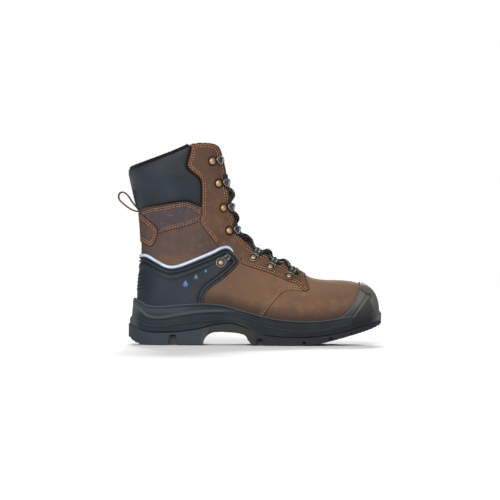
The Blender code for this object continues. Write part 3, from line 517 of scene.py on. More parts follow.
def skin(place, turn):
    # leather's outer face: place is the section, -1 at the toe tip to 13 above the collar; turn runs
    # from -1 at the base up the outer side, over the ridge at 0 and down the inner side to 1
    place, turn = np.broadcast_arrays(np.asarray(place, float), np.asarray(turn, float))
    rows = splineAt(lastRows, np.clip(place, 0, lastEnd).ravel()).reshape(*place.shape, lastRows.shape[1])
    topX, topZ, baseX, baseZ, wide, outer, inner, ridge, topPower, basePower = np.moveaxis(rows, -1, 0)
    rising = evenTurn(np.clip(place + 1, 0, 1), last["toePower"])
    ahead = np.clip(np.cos(rising), 0, 1) ** (2 / last["toePower"])
    up = np.sin(rising) ** (2 / last["toePower"])
    toe = place < 0
    reach = last["heel"] + last["length"] - baseX
    tilt = (last["tipSeat"] - last["toeSeat"]) * ahead * (1 - up)
    topX = np.where(toe, baseX + reach * ahead, topX)
    topZ = np.where(toe, baseZ + (topZ - baseZ) * up + tilt, topZ)
    turn = (turn + 1) % 2 - 1
    away, crown = np.abs(turn), last["crown"]
    above = away <= crown
    share = np.clip(np.where(above, away / crown, (1 - away) / (1 - crown)), 0, 1)
    power = np.where(above, topPower, basePower)
    angle = evenTurn(share, power)
    along = np.clip(np.cos(angle), 0, 1) ** (2 / power)
    across = np.clip(np.sin(angle), 0, 1) ** (2 / power)
    wideX, wideZ = baseX + (topX - baseX) * wide, baseZ + (topZ - baseZ) * wide
    endX, endZ = np.where(above, topX, baseX), np.where(above, topZ, baseZ)
    middle = np.where(above, ridge, 0.0)
    side = np.where(turn < 0, -outer, inner)
    return np.stack([wideX + (endX - wideX) * along, middle + (side - middle) * across,
                     wideZ + (endZ - wideZ) * along], axis=-1)


def skinNormal(place, turn):
    # across the two directions of the surface, by small differences
    alongWay = skin(np.asarray(place) + 0.006, turn) - skin(np.asarray(place) - 0.006, turn)
    roundWay = skin(place, np.asarray(turn) + 0.004) - skin(place, np.asarray(turn) - 0.004)
    return unit(np.cross(roundWay, alongWay))


creases = {  # side-view line, depth (a ridge if negative) and half width of each soft fold
    "ankle": ((-12, 126), (-62, 120), 0.9, 7.0),
    "ankleHigh": ((-17, 150), (-66, 138), 0.6, 8.0),
    "ankleRoll": ((-15, 138), (-62, 130), -0.5, 6.0),
    "ball": ((56, 96), (34, 44), 0.7, 7.0),
    "ballRoll": ((65, 92), (46, 42), -0.4, 6.0),
    "toeBreak": ((76, 86), (60, 42), 0.6, 7.0),
}


def folds(points):
    # soft troughs and rolls: a bell across each line, faded to nothing at its ends
    total = np.zeros(points.shape[:-1])
    for start, end, depth, width in creases.values():
        share, apart = fromSegment(points[..., 0], points[..., 2], start, end)
        fade = np.clip(1.15 - np.abs(share - 0.4) * 1.6, 0, 1)
        total -= depth * fade * np.exp(-apart / width**2)
    return total


def raised(place, turn, height):
    # the leather's face with its folds, moved out along its normal by height
    points = skin(place, turn)
    return points + skinNormal(place, turn) * (folds(points) + height)[..., None]


# lines and outlines in side view, (x, z)
lines = {
    "throat": ((62, 92), (55, 91), (42, 98), (20, 109), (1, 119.5), (-10, 130), (-16, 145), (-20, 158),
               (-24, 176), (-27, 194), (-29.2, 211), (-32.6, 226), (-35.5, 235.5)),
    "collar": ((-35.5, 235.5), (-38, 239.2), (-43, 241.9), (-50, 242.8), (-60, 243), (-70, 241.4),
               (-86, 234.4), (-100, 228.7), (-128, 218.3), (-150, 210.8)),
    "soleRim": ((-160, 58), (-141, 56.5), (-132, 52.5), (-123, 48), (-110, 46.8), (-78, 49), (-55, 50),
                (-32, 48.3), (-11, 42.8), (13, 36), (37, 31.2), (60, 29.4), (85, 29.8), (103, 32.3)),
    "bumper": ((103, 32.3), (112, 36.5), (121, 46), (127.5, 56), (131.5, 65), (133, 72), (130, 80),
               (125, 92)),
    "bumperStep": ((103, 32.3), (125, 36), (150, 40), (175, 43)),
    "parting": ((-160, 31), (-143, 24.5), (-126, 16.5), (-96, 15), (-62, 19), (-42, 24), (-20, 25.5),
                (0, 19.5), (17, 13), (37, 10.2), (70, 9.8), (100, 13.5), (130, 21), (150, 27), (175, 33)),
    "heelBevel": ((-160, 17), (-145, 9), (-138, 3.5), (-126, 0)),
    "arch": ((-56, 0), (-53, 8), (-45, 14.5), (-24, 15.5), (-5, 12), (-1, 6), (4, 0)),
    "toeSpring": ((64, 0), (85, 2.3), (110, 8.5), (134, 15.5), (150, 21), (175, 33)),
    "counterTop": ((-165, 103), (-133, 105), (-124, 106), (-113, 100), (-101, 93.5), (-93, 92), (-84, 93.6),
                   (-60, 103), (-43, 110.3), (-32, 115.6), (-26, 115.8), (-20, 110.2)),
    "counterFront": ((-13.4, 103.2), (-12.6, 99), (-18.6, 91), (-33, 78.2), (-43, 71), (-50.5, 64),
                     (-54.2, 56), (-54, 40)),
    "stayRear": ((-69, 262), (-69.8, 240), (-71.5, 229), (-74.5, 216.5), (-72.5, 211.5), (-65, 205.5),
                 (-58.7, 199), (-57.5, 192), (-57.5, 158.5), (-59, 147.5), (-54.4, 139.8), (-45.6, 128.6),
                 (-36, 116.2)),
    "stayLower": ((-10, 98), (2, 93.5), (25, 86), (48, 76.5), (57.5, 72.8), (62, 67.6), (67.6, 65),
                  (72.3, 67.5), (71.3, 73), (68.8, 79), (68.2, 90), (67.7, 130)),
    "padLower": ((-165, 162.8), (-136, 163.5), (-118, 166.2), (-100, 168.8), (-82, 172), (-74, 171.8),
                 (-58.4, 165.5)),
    "bandUpper": ((-131, 160), (-118, 164.6), (-100, 167.5), (-82, 171), (-74, 170.8), (-61, 164.5),
                  (-50, 158.5)),
    "bandLower": ((-50, 152.5), (-62.5, 147.5), (-76, 142.5), (-92, 138.5), (-110, 133.5)),
    "tab": ((-165, 160), (-134, 159.8), (-122, 151), (-111.5, 141), (-110, 135), (-113, 124),
            (-118, 118), (-126, 121), (-134, 125), (-165, 137)),
    "pullLoop": ((-133.8, 161.4), (-140.6, 170.2), (-147, 179.6), (-153.5, 184), (-158.2, 181),
                 (-157.2, 174.4), (-151, 168.6), (-142, 162.6)),
    "quarter": ((61, 130), (65, 90), (67.4, 74), (67, 67.6), (62.4, 65.4), (50.5, 66.4), (41.8, 64.6),
                (34.8, 58.6), (28.8, 51.5), (24.4, 45.7), (19.6, 38.0), (14.5, 30), (9, 20)),
    "footbed": ((-110, 30), (-74, 30), (-36, 28), (2, 22.5), (34, 17.5), (64, 18), (95, 22), (154, 29)),
}
throatCollar = smoothLine(lines["throat"] + lines["collar"][1:])
counterEdge = smoothLine(lines["counterTop"] + lines["counterFront"])
stayEdge = smoothLine(lines["stayRear"])
stayFoot = smoothLine(lines["stayLower"])
far = 600.0


def footbed(x):
    return np.interp(x, *zip(*lines["footbed"]))


# patches of the skin: a grid of triangles cut along level lines of a depth
def startPatch(places, turns, cell):
    coarse = skin(np.linspace(*places, 40)[:, None], np.linspace(*turns, 40)[None, :])
    rows = int(np.linalg.norm(np.diff(coarse, axis=0), axis=2).sum(0).max() / cell) + 2
    columns = int(np.linalg.norm(np.diff(coarse, axis=1), axis=2).sum(1).max() / cell) + 2
    place, turn = np.meshgrid(np.linspace(*places, rows), np.linspace(*turns, columns), indexing="ij")
    return place.ravel(), turn.ravel(), gridTriangles(rows, columns)


def gridTriangles(rows, columns, wrapped=False, looped=False):
    corner = np.arange(rows * columns).reshape(rows, columns)
    if looped:
        corner = np.concatenate([corner, corner[:1]])
    if wrapped:
        corner = np.concatenate([corner, corner[:, :1]], axis=1)
    a, b, c, d = corner[:-1, :-1], corner[:-1, 1:], corner[1:, 1:], corner[1:, :-1]
    return np.stack([a, b, c, a, c, d], axis=-1).reshape(-1, 3)


def distinct(tris):  # without triangles that have shrunk to a line
    return tris[(tris != np.roll(tris, 1, axis=1)).all(1)]


def capped(grid, ends):
    # rings of points as one closed body, with a fan from each end point to the ring beside it
    rows, around = grid.shape[:2]
    ring = np.arange(around)
    beside, base = np.roll(ring, -1), rows * around
    first = np.stack([np.full(around, base), beside, ring], 1)
    final = np.stack([np.full(around, base + 1), ring + base - around, beside + base - around], 1)
    faces = np.concatenate([gridTriangles(rows, around, True), first, final])
    return np.concatenate([grid.reshape(-1, 3), ends]), [faces]


def cutPatch(patch, depthOf, levels, keep=True):
    # splits the triangles along each level of depthOf; with keep, what lies under the first is dropped
    place, turn, tris = patch
    depth = depthOf(place, turn)
    for number, level in enumerate(levels):
        for snapping in (True, False):
            edges = np.unique(np.sort(tris[:, [0, 1, 1, 2, 2, 0]].reshape(-1, 2), axis=1), axis=0)
            edges = edges[(depth[edges[:, 0]] - level) * (depth[edges[:, 1]] - level) < 0]
            start, end = edges.T
            gap = depth[end] - depth[start]
            share = (level - depth[start]) / gap
            newPlace = place[start] + (place[end] - place[start]) * share
            newTurn = turn[start] + (turn[end] - turn[start]) * share
            share = np.clip(share + (level - depthOf(newPlace, newTurn)) / gap, 0, 1)
            newPlace = place[start] + (place[end] - place[start]) * share
            newTurn = turn[start] + (turn[end] - turn[start]) * share
            if snapping:  # a corner close to the line moves onto it, so that no sliver is left
                for corner, close in ((start, share < 0.25), (end, share > 0.75)):
                    place[corner[close]] = newPlace[close]
                    turn[corner[close]] = newTurn[close]
                    depth[corner[close]] = level
        sign = np.sign(np.where(np.abs(depth - level) < 1e-7, 0, depth - level)).astype(int)
        corners = sign[tris]
        mixed = (corners.min(1) < 0) & (corners.max(1) > 0)
        key = start * len(place) + end
        order = np.argsort(key)
        total = len(place)

        def crossing(a, b):
            wanted = np.minimum(a, b) * total + np.maximum(a, b)
            return total + order[np.searchsorted(key, wanted, sorter=order)]

        def turned(chosen, first):
            return np.take_along_axis(tris[chosen], (first[:, None] + np.arange(3)) % 3, axis=1).T

        touching = mixed & (corners == 0).any(1)
        o, a, b = turned(touching, np.argmax(corners[touching] == 0, axis=1))
        p = crossing(a, b)
        made = [np.stack([o, a, p], 1), np.stack([o, p, b], 1)]
        plain = mixed & ~touching
        odd = corners[plain] == -np.sign(corners[plain].sum(1, keepdims=True))
        o, a, b = turned(plain, np.argmax(odd, axis=1))
        p, q = crossing(o, a), crossing(o, b)
        made += [np.stack([o, p, q], 1), np.stack([p, a, b], 1), np.stack([p, b, q], 1)]
        tris = np.concatenate([tris[~mixed], *made])
        place, turn = np.concatenate([place, newPlace]), np.concatenate([turn, newTurn])
        depth = np.concatenate([depth, np.full(len(newPlace), level)])
        if keep and number == 0:
            tris = tris[(depth[tris] > level - 1e-6).all(1) & (depth[tris] > level + 1e-6).any(1)]
    used, flat = np.unique(tris, return_inverse=True)
    return place[used], turn[used], flat.reshape(-1, 3)


def sideDepth(outline):
    def depthOf(place, turn):
        points = skin(place, turn)
        return polygonDepth(outline, points[..., 0], points[..., 2])

    return depthOf


def above(line, gap):
    def depthOf(place, turn):
        points = skin(place, turn)
        return points[..., 2] - lineHeight(line, points[..., 0]) + gap

    return depthOf


def closedShell(outer, inner, tris):
    # an outer and an inner face, and a wall between them along every open edge
    edges = tris[:, [0, 1, 1, 2, 2, 0]].reshape(-1, 2)
    count = len(outer)
    forward = edges[:, 0] * count + edges[:, 1]
    backward = edges[:, 1] * count + edges[:, 0]
    rim = edges[~np.isin(forward, backward)]
    wall = np.stack([rim[:, 0], rim[:, 0] + count, rim[:, 1] + count, rim[:, 1]], 1)
    wall = np.concatenate([wall[:, [0, 1, 2]], wall[:, [0, 2, 3]]])
    return np.concatenate([outer, inner]), tris, wall, tris[:, ::-1] + count


madePieces = {}


def makePiece(name, points, faceSets, finish, slot, replaced=(), marks=None, sharp=None, second=None):
    # a mesh from whole arrays; faces of the set named by second take the second finish
    finishes = finish if isinstance(finish, list) else [finish]
    mesh = bpy.data.meshes.new(name)
    sizes = np.concatenate([np.full(len(faces), faces.shape[1]) for faces in faceSets])
    corners = np.concatenate([faces.ravel() for faces in faceSets]).astype(np.int32)
    mesh.vertices.add(len(points))
    mesh.vertices.foreach_set("co", ((np.asarray(points) + frameShift) * mm).astype(np.float32).ravel())
    mesh.loops.add(len(corners))
    mesh.loops.foreach_set("vertex_index", corners)
    mesh.polygons.add(len(sizes))
    mesh.polygons.foreach_set("loop_start", (np.cumsum(sizes) - sizes).astype(np.int32))
    if second is not None:
        which = np.concatenate([np.full(len(faces), i == second) for i, faces in enumerate(faceSets)])
        mesh.polygons.foreach_set("material_index", which.astype(np.int32))
    mesh.update(calc_edges=True)
    mesh.validate()
    mesh.shade_smooth()
    if sharp:
        mesh.set_sharp_from_angle(angle=math.radians(sharp))
    for label, values in (marks or {}).items():
        held = mesh.attributes.new(label, "FLOAT", "POINT")
        held.data.foreach_set("value", np.asarray(values, np.float32).ravel())
    for one in finishes:
        mesh.materials.append(one.material)
    obj = bpy.data.objects.new(name, mesh)
    bpy.context.scene.collection.objects.link(obj)
    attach(obj, "root")
    if replaced:
        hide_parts(*replaced)
    madePieces[name] = obj
    print("made", name, len(points), "points", int((sizes - 2).sum()), "triangles")
    return obj


panelGap = 0.05  # between a panel's inner face and the leather


def nearestOf(depths):
    return lambda place, turn: np.minimum.reduce([depth(place, turn) for depth in depths])


def panel(name, spans, cell, bounds, profile, finish, slot, trims=(), replaced=None, puff=None, extra=None):
    # an overlay on the skin: profile gives its height by distance from its bounds; trims only cut it
    depthOf = nearestOf(bounds)
    profile = np.array(profile)
    patch = cutPatch(startPatch(*spans, cell), depthOf, [0.0])
    for trim in trims:
        patch = cutPatch(patch, trim, [0.0])
    place, turn, tris = cutPatch(patch, depthOf, profile[1:, 0], keep=False)
    edge = depthOf(place, turn)
    height = np.interp(edge, profile[:, 0], profile[:, 1])
    if puff is not None:
        height = height * puff(skin(place, turn))
    marks = {"edge": edge}
    if extra is not None:
        height, marks = extra(place, turn, edge, height, marks)
    inside = raised(place, turn, np.full(len(height), panelGap))
    points, *faces = closedShell(raised(place, turn, height), inside, tris)
    marks = {label: np.tile(values, 2) for label, values in marks.items()}
    return makePiece(name, points, faces, finish, slot, [replaced or name], marks)


# the upper: one hollow leather form with its lining
upperLook = {"rows": 330, "toeRows": 28, "columns": 250, "wall": 2.2, "lip": 0.8, "step": 0.8}
upperOutline = joined(
    np.column_stack([np.linspace(-170, 160, 80), footbed(np.linspace(-170, 160, 80)) + 6]),
    [(far, 30), (far, 132), (102, 132)], throatCollar, [(-far, 150)],
)
quarterLine = smoothLine(lines["quarter"])
quarterSide = joined(quarterLine, [(-far, 20), (-far, far), (60, far)])


def upperPatch():
    rows, toeRows, columns = (upperLook[n] for n in ("rows", "toeRows", "columns"))
    toe = np.linspace(-0.75, 0, toeRows, endpoint=False)
    place = np.concatenate([toe, np.linspace(0, lastEnd - 0.3, rows - toeRows)])
    turn = np.linspace(-1, 1, columns, endpoint=False)
    places, turns = np.meshgrid(place, turn, indexing="ij")
    return places.ravel(), turns.ravel(), gridTriangles(rows, columns, wrapped=True)


def makeUpper():
    place, turn, tris = upperPatch()
    wraps = np.ptp(turn[tris], axis=1) > 1  # triangles over the back seam get corners of their own
    near = (sideDepth(upperOutline)(place, turn)[tris] > -6).any(1)
    seamRows = tris[near & wraps]
    extra = np.unique(seamRows[turn[seamRows] < 0])
    lookup = np.arange(len(place))
    lookup[extra] = np.arange(len(extra)) + len(place)
    bridge = np.where(turn[seamRows] < 0, lookup[seamRows], seamRows)
    patch = (np.concatenate([place, place[extra]]), np.concatenate([turn, turn[extra] + 2]),
             np.concatenate([tris[near & ~wraps], bridge]))
    patch = cutPatch(patch, sideDepth(upperOutline), [0.0, upperLook["lip"]])
    place, turn, tris = cutPatch(patch, sideDepth(quarterSide), [0.0, upperLook["step"]], keep=False)
    rough = np.round(skin(place, turn), 4)  # corners that meet again are made one
    _, first, back = np.unique(rough, axis=0, return_index=True, return_inverse=True)
    place, turn, tris = place[first], turn[first], distinct(back.ravel()[tris])
    points = skin(place, turn)
    edge = sideDepth(upperOutline)(place, turn)
    seam = sideDepth(quarterSide)(place, turn)
    forward = np.clip((points[:, 0] + 10) / 12, 0, 1)
    over = np.maximum(seam, 0)  # the quarter lies over the vamp
    lip = np.clip(over / upperLook["step"], 0, 1) * (0.15 + 0.65 * np.exp(-over / 9)) * forward
    height = np.interp(edge, (0, upperLook["lip"]), (-0.7, 0)) + lip
    shaft = np.clip((points[:, 2] - 96) / 14, 0, 1) * np.clip((-30 - points[:, 0]) / 12, 0, 1)
    low = points[:, 2] - np.where(points[:, 0] < 103, lineHeight(lines["soleRim"], points[:, 0]), 34)
    outside = raised(place, turn, height)
    inside = raised(place, turn, np.full(len(place), -upperLook["wall"]))
    whole, *faces = closedShell(outside, inside, tris)
    marks = {"seam": np.where(points[:, 0] > 0, seam, 20), "shaft": shaft, "low": low}
    marks = {label: np.tile(values, 2) for label, values in marks.items()}
    finishes = [upperFinish(), clothFinish("lining_mesh", "lining", 2.0)]
    makePiece("upper", whole, faces, finishes, "leather", ["upper"], marks, second=2)


makeUpper()

sides = (("lateral", -1), ("medial", 1))
stayLeather = leatherPanel("eyestay_leather", "stay")
bandLeather = leatherPanel("band_leather", "band")
tabLeather = leatherPanel("tab_leather", "shaft")
stitchProfile = (0, 0.5, 1.2, 1.8, 2.4, 3.0, 4.2, 4.8, 5.4)  # dips where the two seams pull the leather in
stitched = tuple(zip(stitchProfile, (0.5, 1.2, 1.5, 1.5, 1.3, 1.5, 1.5, 1.3, 1.5)))
thinStitched = tuple(zip(stitchProfile, (0.4, 0.9, 1.1, 1.1, 0.9, 1.1, 1.1, 0.9, 1.1)))
throatLine, bandUpper, bandLower = (smoothLine(lines[n]) for n in ("throat", "bandUpper", "bandLower"))
stayOutline = joined(stayEdge[:-1], stayFoot, throatCollar[: len(throatLine)], [(-35.5, 262)])
bandOutline = joined(bandUpper, bandLower, [(-135, 140), (-135, 160)])
counterOutline = joined(counterEdge, [(-54, 20), (-far, 20)])
tabLine = smoothLine(lines["tab"])
underCollar = sideDepth(joined(throatCollar, [(-far, 200), (-far, -far), (far, -far), (far, 92)]))


def outsideOf(outline, gap):
    inside = sideDepth(outline)
    return lambda place, turn: -inside(place, turn) - gap


def onSide(low, high, sign):  # a span of turns on one side of the ridge
    return (low, high) if sign > 0 else (-high, -low)


for side, sign in sides:
    panel(f"eyestay_{side}", ((0.9, 12.9), onSide(0.02, 0.62, sign)), 1.3, [sideDepth(stayOutline), underCollar],
          stitched, stayLeather, "leather", [outsideOf(counterOutline, 2.9)])
    panel(f"ankle_band_{side}", ((8.0, 12.0), onSide(0.5, 0.97, sign)), 1.2, [sideDepth(bandOutline)],
          thinStitched, bandLeather, "panel_leather", [outsideOf(tabLine, 0.4), outsideOf(stayOutline, 0.3)])
panel("heel_tab", ((8.4, 12.2), (0.76, 1.24)), 1.2, [sideDepth(tabLine)], stitched,
      tabLeather, "panel_leather")

# padded collar: foam under soft leather, fullest near the top and pinched at its seams
padLook = {"edge": 1.6, "full": 5.4, "back": 1.6, "from": 165.0, "to": 205.0, "fill": 0.75}
padOutline = joined(smoothLine(lines["padLower"]), [(-40, 160), (-40, 262), (-far, 262)])
padProfile = ((0, 0.12), (0.4, 0.45), (1.0, 0.68), (2.2, 0.85), (4.5, 0.95), (9, 1.0))


def padHeight(points):
    share = spanShare(padLook, points[..., 2])
    full = padLook["edge"] + (padLook["full"] - padLook["edge"]) * share
    return full + padLook["back"] * eased(points[..., 0], -112, -136)


padBounds = [sideDepth(padOutline), outsideOf(stayOutline, 0.3), underCollar]
collarPad = panel("collar_pad", ((9.6, 13.0), (0.28, 1.72)), 1.5, padBounds, padProfile, padFinish(), "pad",
                  puff=padHeight)

# heel counter: moulded shell with a double rim along its top and front, and ribs at the back
counterProfile = ((0, 0.9), (0.4, 2.2), (0.8, 2.6), (1.8, 2.6), (2.1, 0.8), (3.8, 0.8), (4.1, 2.5),
                  (5.4, 2.5), (5.7, 0.8), (7.4, 0.8), (7.9, 1.7), (11, 2.1), (16, 2.2))
ribHeights = (83.5, 79.2, 74.9, 70.6, 66.3)


def counterRelief(place, turn, edge, height, marks):
    points = skin(place, turn)
    back = np.clip((-118 - points[..., 0]) / 12, 0, 1) * np.clip((edge - 8) / 4, 0, 1)
    ribs = sum(bell(points[..., 2] - z, 1.2) for z in ribHeights)
    below = lineHeight(lines["counterTop"], points[..., 0]) - points[..., 2]
    step = eased(below, 12.0, 14.5) * eased(points[..., 0], -34, -50)
    height = height + 0.9 * ribs * back - 0.8 * step
    # where the painted shade of the grooves and the painted highlight of the rims fall
    groove = np.interp(edge, (1.8, 2.1, 3.8, 4.1, 5.4, 5.7, 7.4, 7.9), (0, 1, 1, 0, 0, 1, 1, 0))
    rim = np.interp(edge, (0.3, 0.8, 1.8, 2.1, 3.8, 4.1, 5.4, 5.7), (0, 1, 1, 0, 0, 1, 1, 0))
    return height, {**marks, "groove": groove, "rim": np.where(edge < 5.6, rim, 0)}


panel("heel_counter", ((3.6, 9.6), (0.2, 1.8)), 1.35, [sideDepth(counterOutline)], counterProfile,
      counterFinish(), "counter", [above(lines["soleRim"], 1.5)], extra=counterRelief)
print("panels done")

# a search tree over the leather's face, for what is set on it
treeRows, treeColumns = 420, 300
fineTurn = np.linspace(-1, 1, treeColumns, endpoint=False)
fineSkin = skin(np.linspace(-1, lastEnd, treeRows)[:, None], fineTurn[None, :]).reshape(-1, 3)
skinTree = BVHTree.FromPolygons(fineSkin.tolist(), gridTriangles(treeRows, treeColumns, True).tolist())


def hitsFrom(tree, starts, ways):
    found = [tree.ray_cast(Vector(a), Vector(b)) for a, b in zip(starts, ways)]
    return np.array([(*(f[0] or a), f[3] if f[0] else -1) for f, a in zip(found, starts)])


# the sole: a wall carried round the plan, with steps and ridges that run along the boot
solePlan = ((-141, 0), (-137, -17), (-122, -33), (-95, -40.5), (-35, -45), (36, -56.5), (100, -54.5),
            (130, -46.5), (149, -31), (157.5, -10), (158.6, 8), (154, 25), (140, 40.5), (114, 50),
            (70, 54.5), (-25, 42.5), (-95, 40.5), (-122, 33), (-137, 17))
soleLook = {"around": 720, "tall": 64, "heelFlare": 3.2}
ridgeLines = {
    "heelHigh": ((-150, 47), (-131.4, 41.4), (-124.2, 34.8), (-114.5, 32), (-102.4, 32.3), (-84.2, 35.4),
                 (-66, 38.4), (-36.9, 40.2), (-10, 38.5), (20, 30)),
    "heelLow": ((-155, 38), (-143.5, 34.8), (-132.6, 28.7), (-122.9, 24.5), (-110.8, 22.9), (-98.7, 23.3),
                (-84.2, 26.3), (-56.3, 29.3), (-25, 30.5), (20, 25)),
    "fore": ((-40, 39), (-15, 36), (9.1, 29.3), (18.8, 24.5), (30.9, 20.8), (49.1, 18.4), (67.2, 17.8),
             (85.4, 19), (103.6, 22.7), (121.7, 26.3), (133.9, 29.9), (165, 38)),
    "groove": ((35, 12.5), (67.2, 12.6), (91.5, 15.6), (115.7, 20.8), (133.9, 27.0), (165, 35)),
    "rib": ((-22, 30), (-16.4, 28.1), (-5.5, 23.9), (6.7, 17.2), (18.8, 12.4), (24.8, 11.1)),
    "toeBand": ((100, 10), (121.5, 16.8), (128.5, 20), (140.3, 24.8), (149.4, 30.2), (156.3, 38.7),
                (165, 48)),
}
toeFacet = np.array(((142.9, 57.4), (147.2, 47.9), (148.8, 37.7), (149.4, 31.5), (140.3, 26.2), (128.5, 21.6),
                     (120, 23.5), (124.5, 32), (126.5, 34.2)))


def through(z, knots, values):
    # eased steps through heights that differ from place to place
    result = np.full(z.shape, float(values[0]))
    for low, high, a, b in zip(knots, knots[1:], values, values[1:]):
        result = result + (b - a) * eased(z, low, np.maximum(high, low + 0.05))
    return result


def wallRelief(x, z, low, rim):
    # how far the wall stands out of the plan: two ridges at the heel, one at the forefoot, a lip at the rim
    high, mid, fore = (lineHeight(ridgeLines[n], x) for n in ("heelHigh", "heelLow", "fore"))
    high = np.clip(high, low + 8, rim - 3.5)
    mid = np.clip(mid, low + 3, high - 4)
    fore = np.clip(fore, low + 3, rim - 3.5)
    lip = [rim - 2.4, rim - 1.2, rim]
    heelKnots = [low, low + 1.0, mid - 1.6, mid - 0.2, mid + 1.2, high - 2.2, high - 0.4, high + 3.0]
    heelOut = through(z, heelKnots + lip,
                      (0.8, 1.7, 1.7, 2.3, 0.8, -0.2, 1.1, -1.3, -1.9, -0.3, -0.7))
    foreOut = through(z, [low, low + 1.0, fore - 2.6, fore - 0.9, fore - 0.1, fore + 1.2] + lip,
                      (0.7, 1.6, 1.5, 1.0, 1.9, -0.5, -1.4, -0.3, -0.7))
    ahead = eased(x, -42, 4)
    out = heelOut * (1 - ahead) + foreOut * ahead
    groove = lineHeight(ridgeLines["groove"], x)
    out = out - 0.8 * bell(z - groove, 0.9) * eased(x, 36, 56) * eased(x, 150, 132)
    rib = lineHeight(ridgeLines["rib"], x)
    out = out + 1.3 * bell(z - rib, 0.9) * eased(x, -22, -12) * eased(x, 27, 18)
    toe = eased(x, 112, 136)
    band = np.clip(lineHeight(ridgeLines["toeBand"], x), low + 1.5, rim - 1.5)
    smoothToe = through(z, [low, low + 0.8, band - 0.9, band + 0.5, rim], (0.6, 1.5, 1.7, 0.5, -0.2))
    smoothToe = smoothToe - 0.9 * eased(polygonDepth(toeFacet, x, z), -0.4, 1.4)
    out = out * (1 - toe) + smoothToe * toe
    heel = eased(x, -116, -137)
    backKnots = [low, low + 1.0, mid - 3.0, mid + 2.5, rim - 4, rim]
    smoothHeel = through(z, backKnots, (2.6, 3.4, 3.3, 0.6, -0.4, -1.6))
    return out * (1 - heel) + smoothHeel * heel


def crestSheenOf(x, z, rim):
    # 1 on the crests and the rim, where a highlight is painted pale
    high, mid, fore = (lineHeight(ridgeLines[n], x) for n in ("heelHigh", "heelLow", "fore"))
    ahead = eased(x, -42, 4)
    crest = (bell(z - high - 1.4, 2.0) + 0.6 * bell(z - mid, 0.8)) * (1 - ahead)
    crest += 0.7 * bell(z - fore, 0.9) * ahead
    rib, band = lineHeight(ridgeLines["rib"], x), lineHeight(ridgeLines["toeBand"], x)
    crest += 0.8 * bell(z - rib, 0.8) * eased(x, -22, -12) * eased(x, 24, 14)
    crest = np.clip(crest + bell(z - rim, 1.5), 0, 1) * eased(x, 140, 115)
    return np.clip(crest + 0.6 * bell(z - band, 0.9) * eased(x, 114, 122), 0, 1)


def paintedShadeOf(x, z, low, rim):
    # 1 where shade is painted dark: over the parting, under each ridge and under the lip
    mid, fore = (lineHeight(ridgeLines[n], x) for n in ("heelLow", "fore"))
    ahead = eased(x, -42, 4)
    dark = bell(z - low, 1.6) + 0.6 * bell(z - rim + 3.0, 1.0) * eased(x, 112, 100)
    dark += 0.8 * bell(z - mid + 2.0, 1.0) * (1 - ahead) * eased(x, -136, -126)
    dark += 0.7 * bell(z - fore + 1.7, 0.9) * ahead * eased(x, 134, 124)
    return np.clip(dark + 0.8 * eased(polygonDepth(toeFacet, x, z), -0.2, 1.2), 0, 1)


def ladder(ring):
    # closes a ring with faces from its first half to its second
    half = len(ring) // 2
    left, right = ring[: half + 1], np.concatenate([ring[:1], ring[: half - 1 : -1]])
    faces = np.stack([left[:-1], left[1:], right[1:], right[:-1]], 1)
    return distinct(np.concatenate([faces[:, [0, 1, 2]], faces[:, [0, 2, 3]]]))


def makeMidsole():
    plan = smoothLoop(solePlan, soleLook["around"])
    outward = plan - offsetLine(plan, 1.0, closed=True)
    x = plan[:, 0]
    low = lineHeight(lines["parting"], x) + 0.3
    rim = np.where(x > 103, lineHeight(lines["bumperStep"], x), lineHeight(lines["soleRim"], x))
    share = np.linspace(0, 1, soleLook["tall"])[:, None]
    z = low + (rim - low) * share
    wide = np.broadcast_to(x, z.shape)
    out = wallRelief(wide, z, low, rim)
    wall = np.concatenate([plan + outward * out[..., None], z[..., None]], axis=2)
    # a painted highlight along the crests and the rim
    crest = crestSheenOf(wide, z, rim)
    rows, marks = [wall], [crest]
    # painted shade under the ridges and the lip
    hollow = np.zeros((len(share) + 4, len(plan)))
    hollow[: len(share)] = paintedShadeOf(wide, z, low, rim)
    start = np.column_stack([plan + outward * 30, rim - 0.8])
    hits = hitsFrom(skinTree, start, np.column_stack([-outward, np.zeros(len(plan))]))
    inside = np.where((hits[:, 3] > 0) & (hits[:, 3] < 60), 30 - hits[:, 3], -6.0)
    inside = np.minimum(inside + 0.3, -1.2)
    edge = out[-1]
    for mix, drop in ((0.15, -0.15), (0.5, 0.1), (1.0, 0.8)):  # ledge from the lip to the leather
        reach = edge + (inside - edge) * mix
        rows.append(np.column_stack([plan + outward * reach[:, None], rim - drop])[None])
        marks.append(np.full((1, len(plan)), 0.5 * (1 - mix)))
    floor = plan + outward * np.minimum(inside, -4.0)[:, None]
    rows.append(np.column_stack([floor, np.minimum(footbed(x) - 1.5, rim - 2)])[None])
    marks.append(np.zeros((1, len(plan))))
    grid = np.concatenate(rows)
    tall, around = grid.shape[:2]
    index = np.arange(tall * around).reshape(tall, around)
    faces = [gridTriangles(tall, around, wrapped=True), ladder(index[-1]), ladder(index[0])[:, ::-1]]
    marks = {"crest": np.concatenate(marks).ravel(), "hollow": hollow.ravel()}
    makePiece("midsole", grid.reshape(-1, 3), faces, soleRubber, "sole", ["midsole"], marks)


soleRubber = soleFinish()
makeMidsole()

# toe bumper: the cap that rises from the sole over the toe, with a lip and a sunk facet on each side
bumperLook = {"edge": 1.9, "full": 4.2, "from": 128.0, "to": 152.0, "facet": 1.7}
bumperLine = smoothLine(lines["bumper"])
bumperOutline = joined(bumperLine, [(125, far), (far, far), (far, -far), (103, -far)])
bumperLines = {"cut": ((133.8, 66.4), (142.1, 59.7)), "rail": ((142.0, 58.2), (125.0, 34.0))}


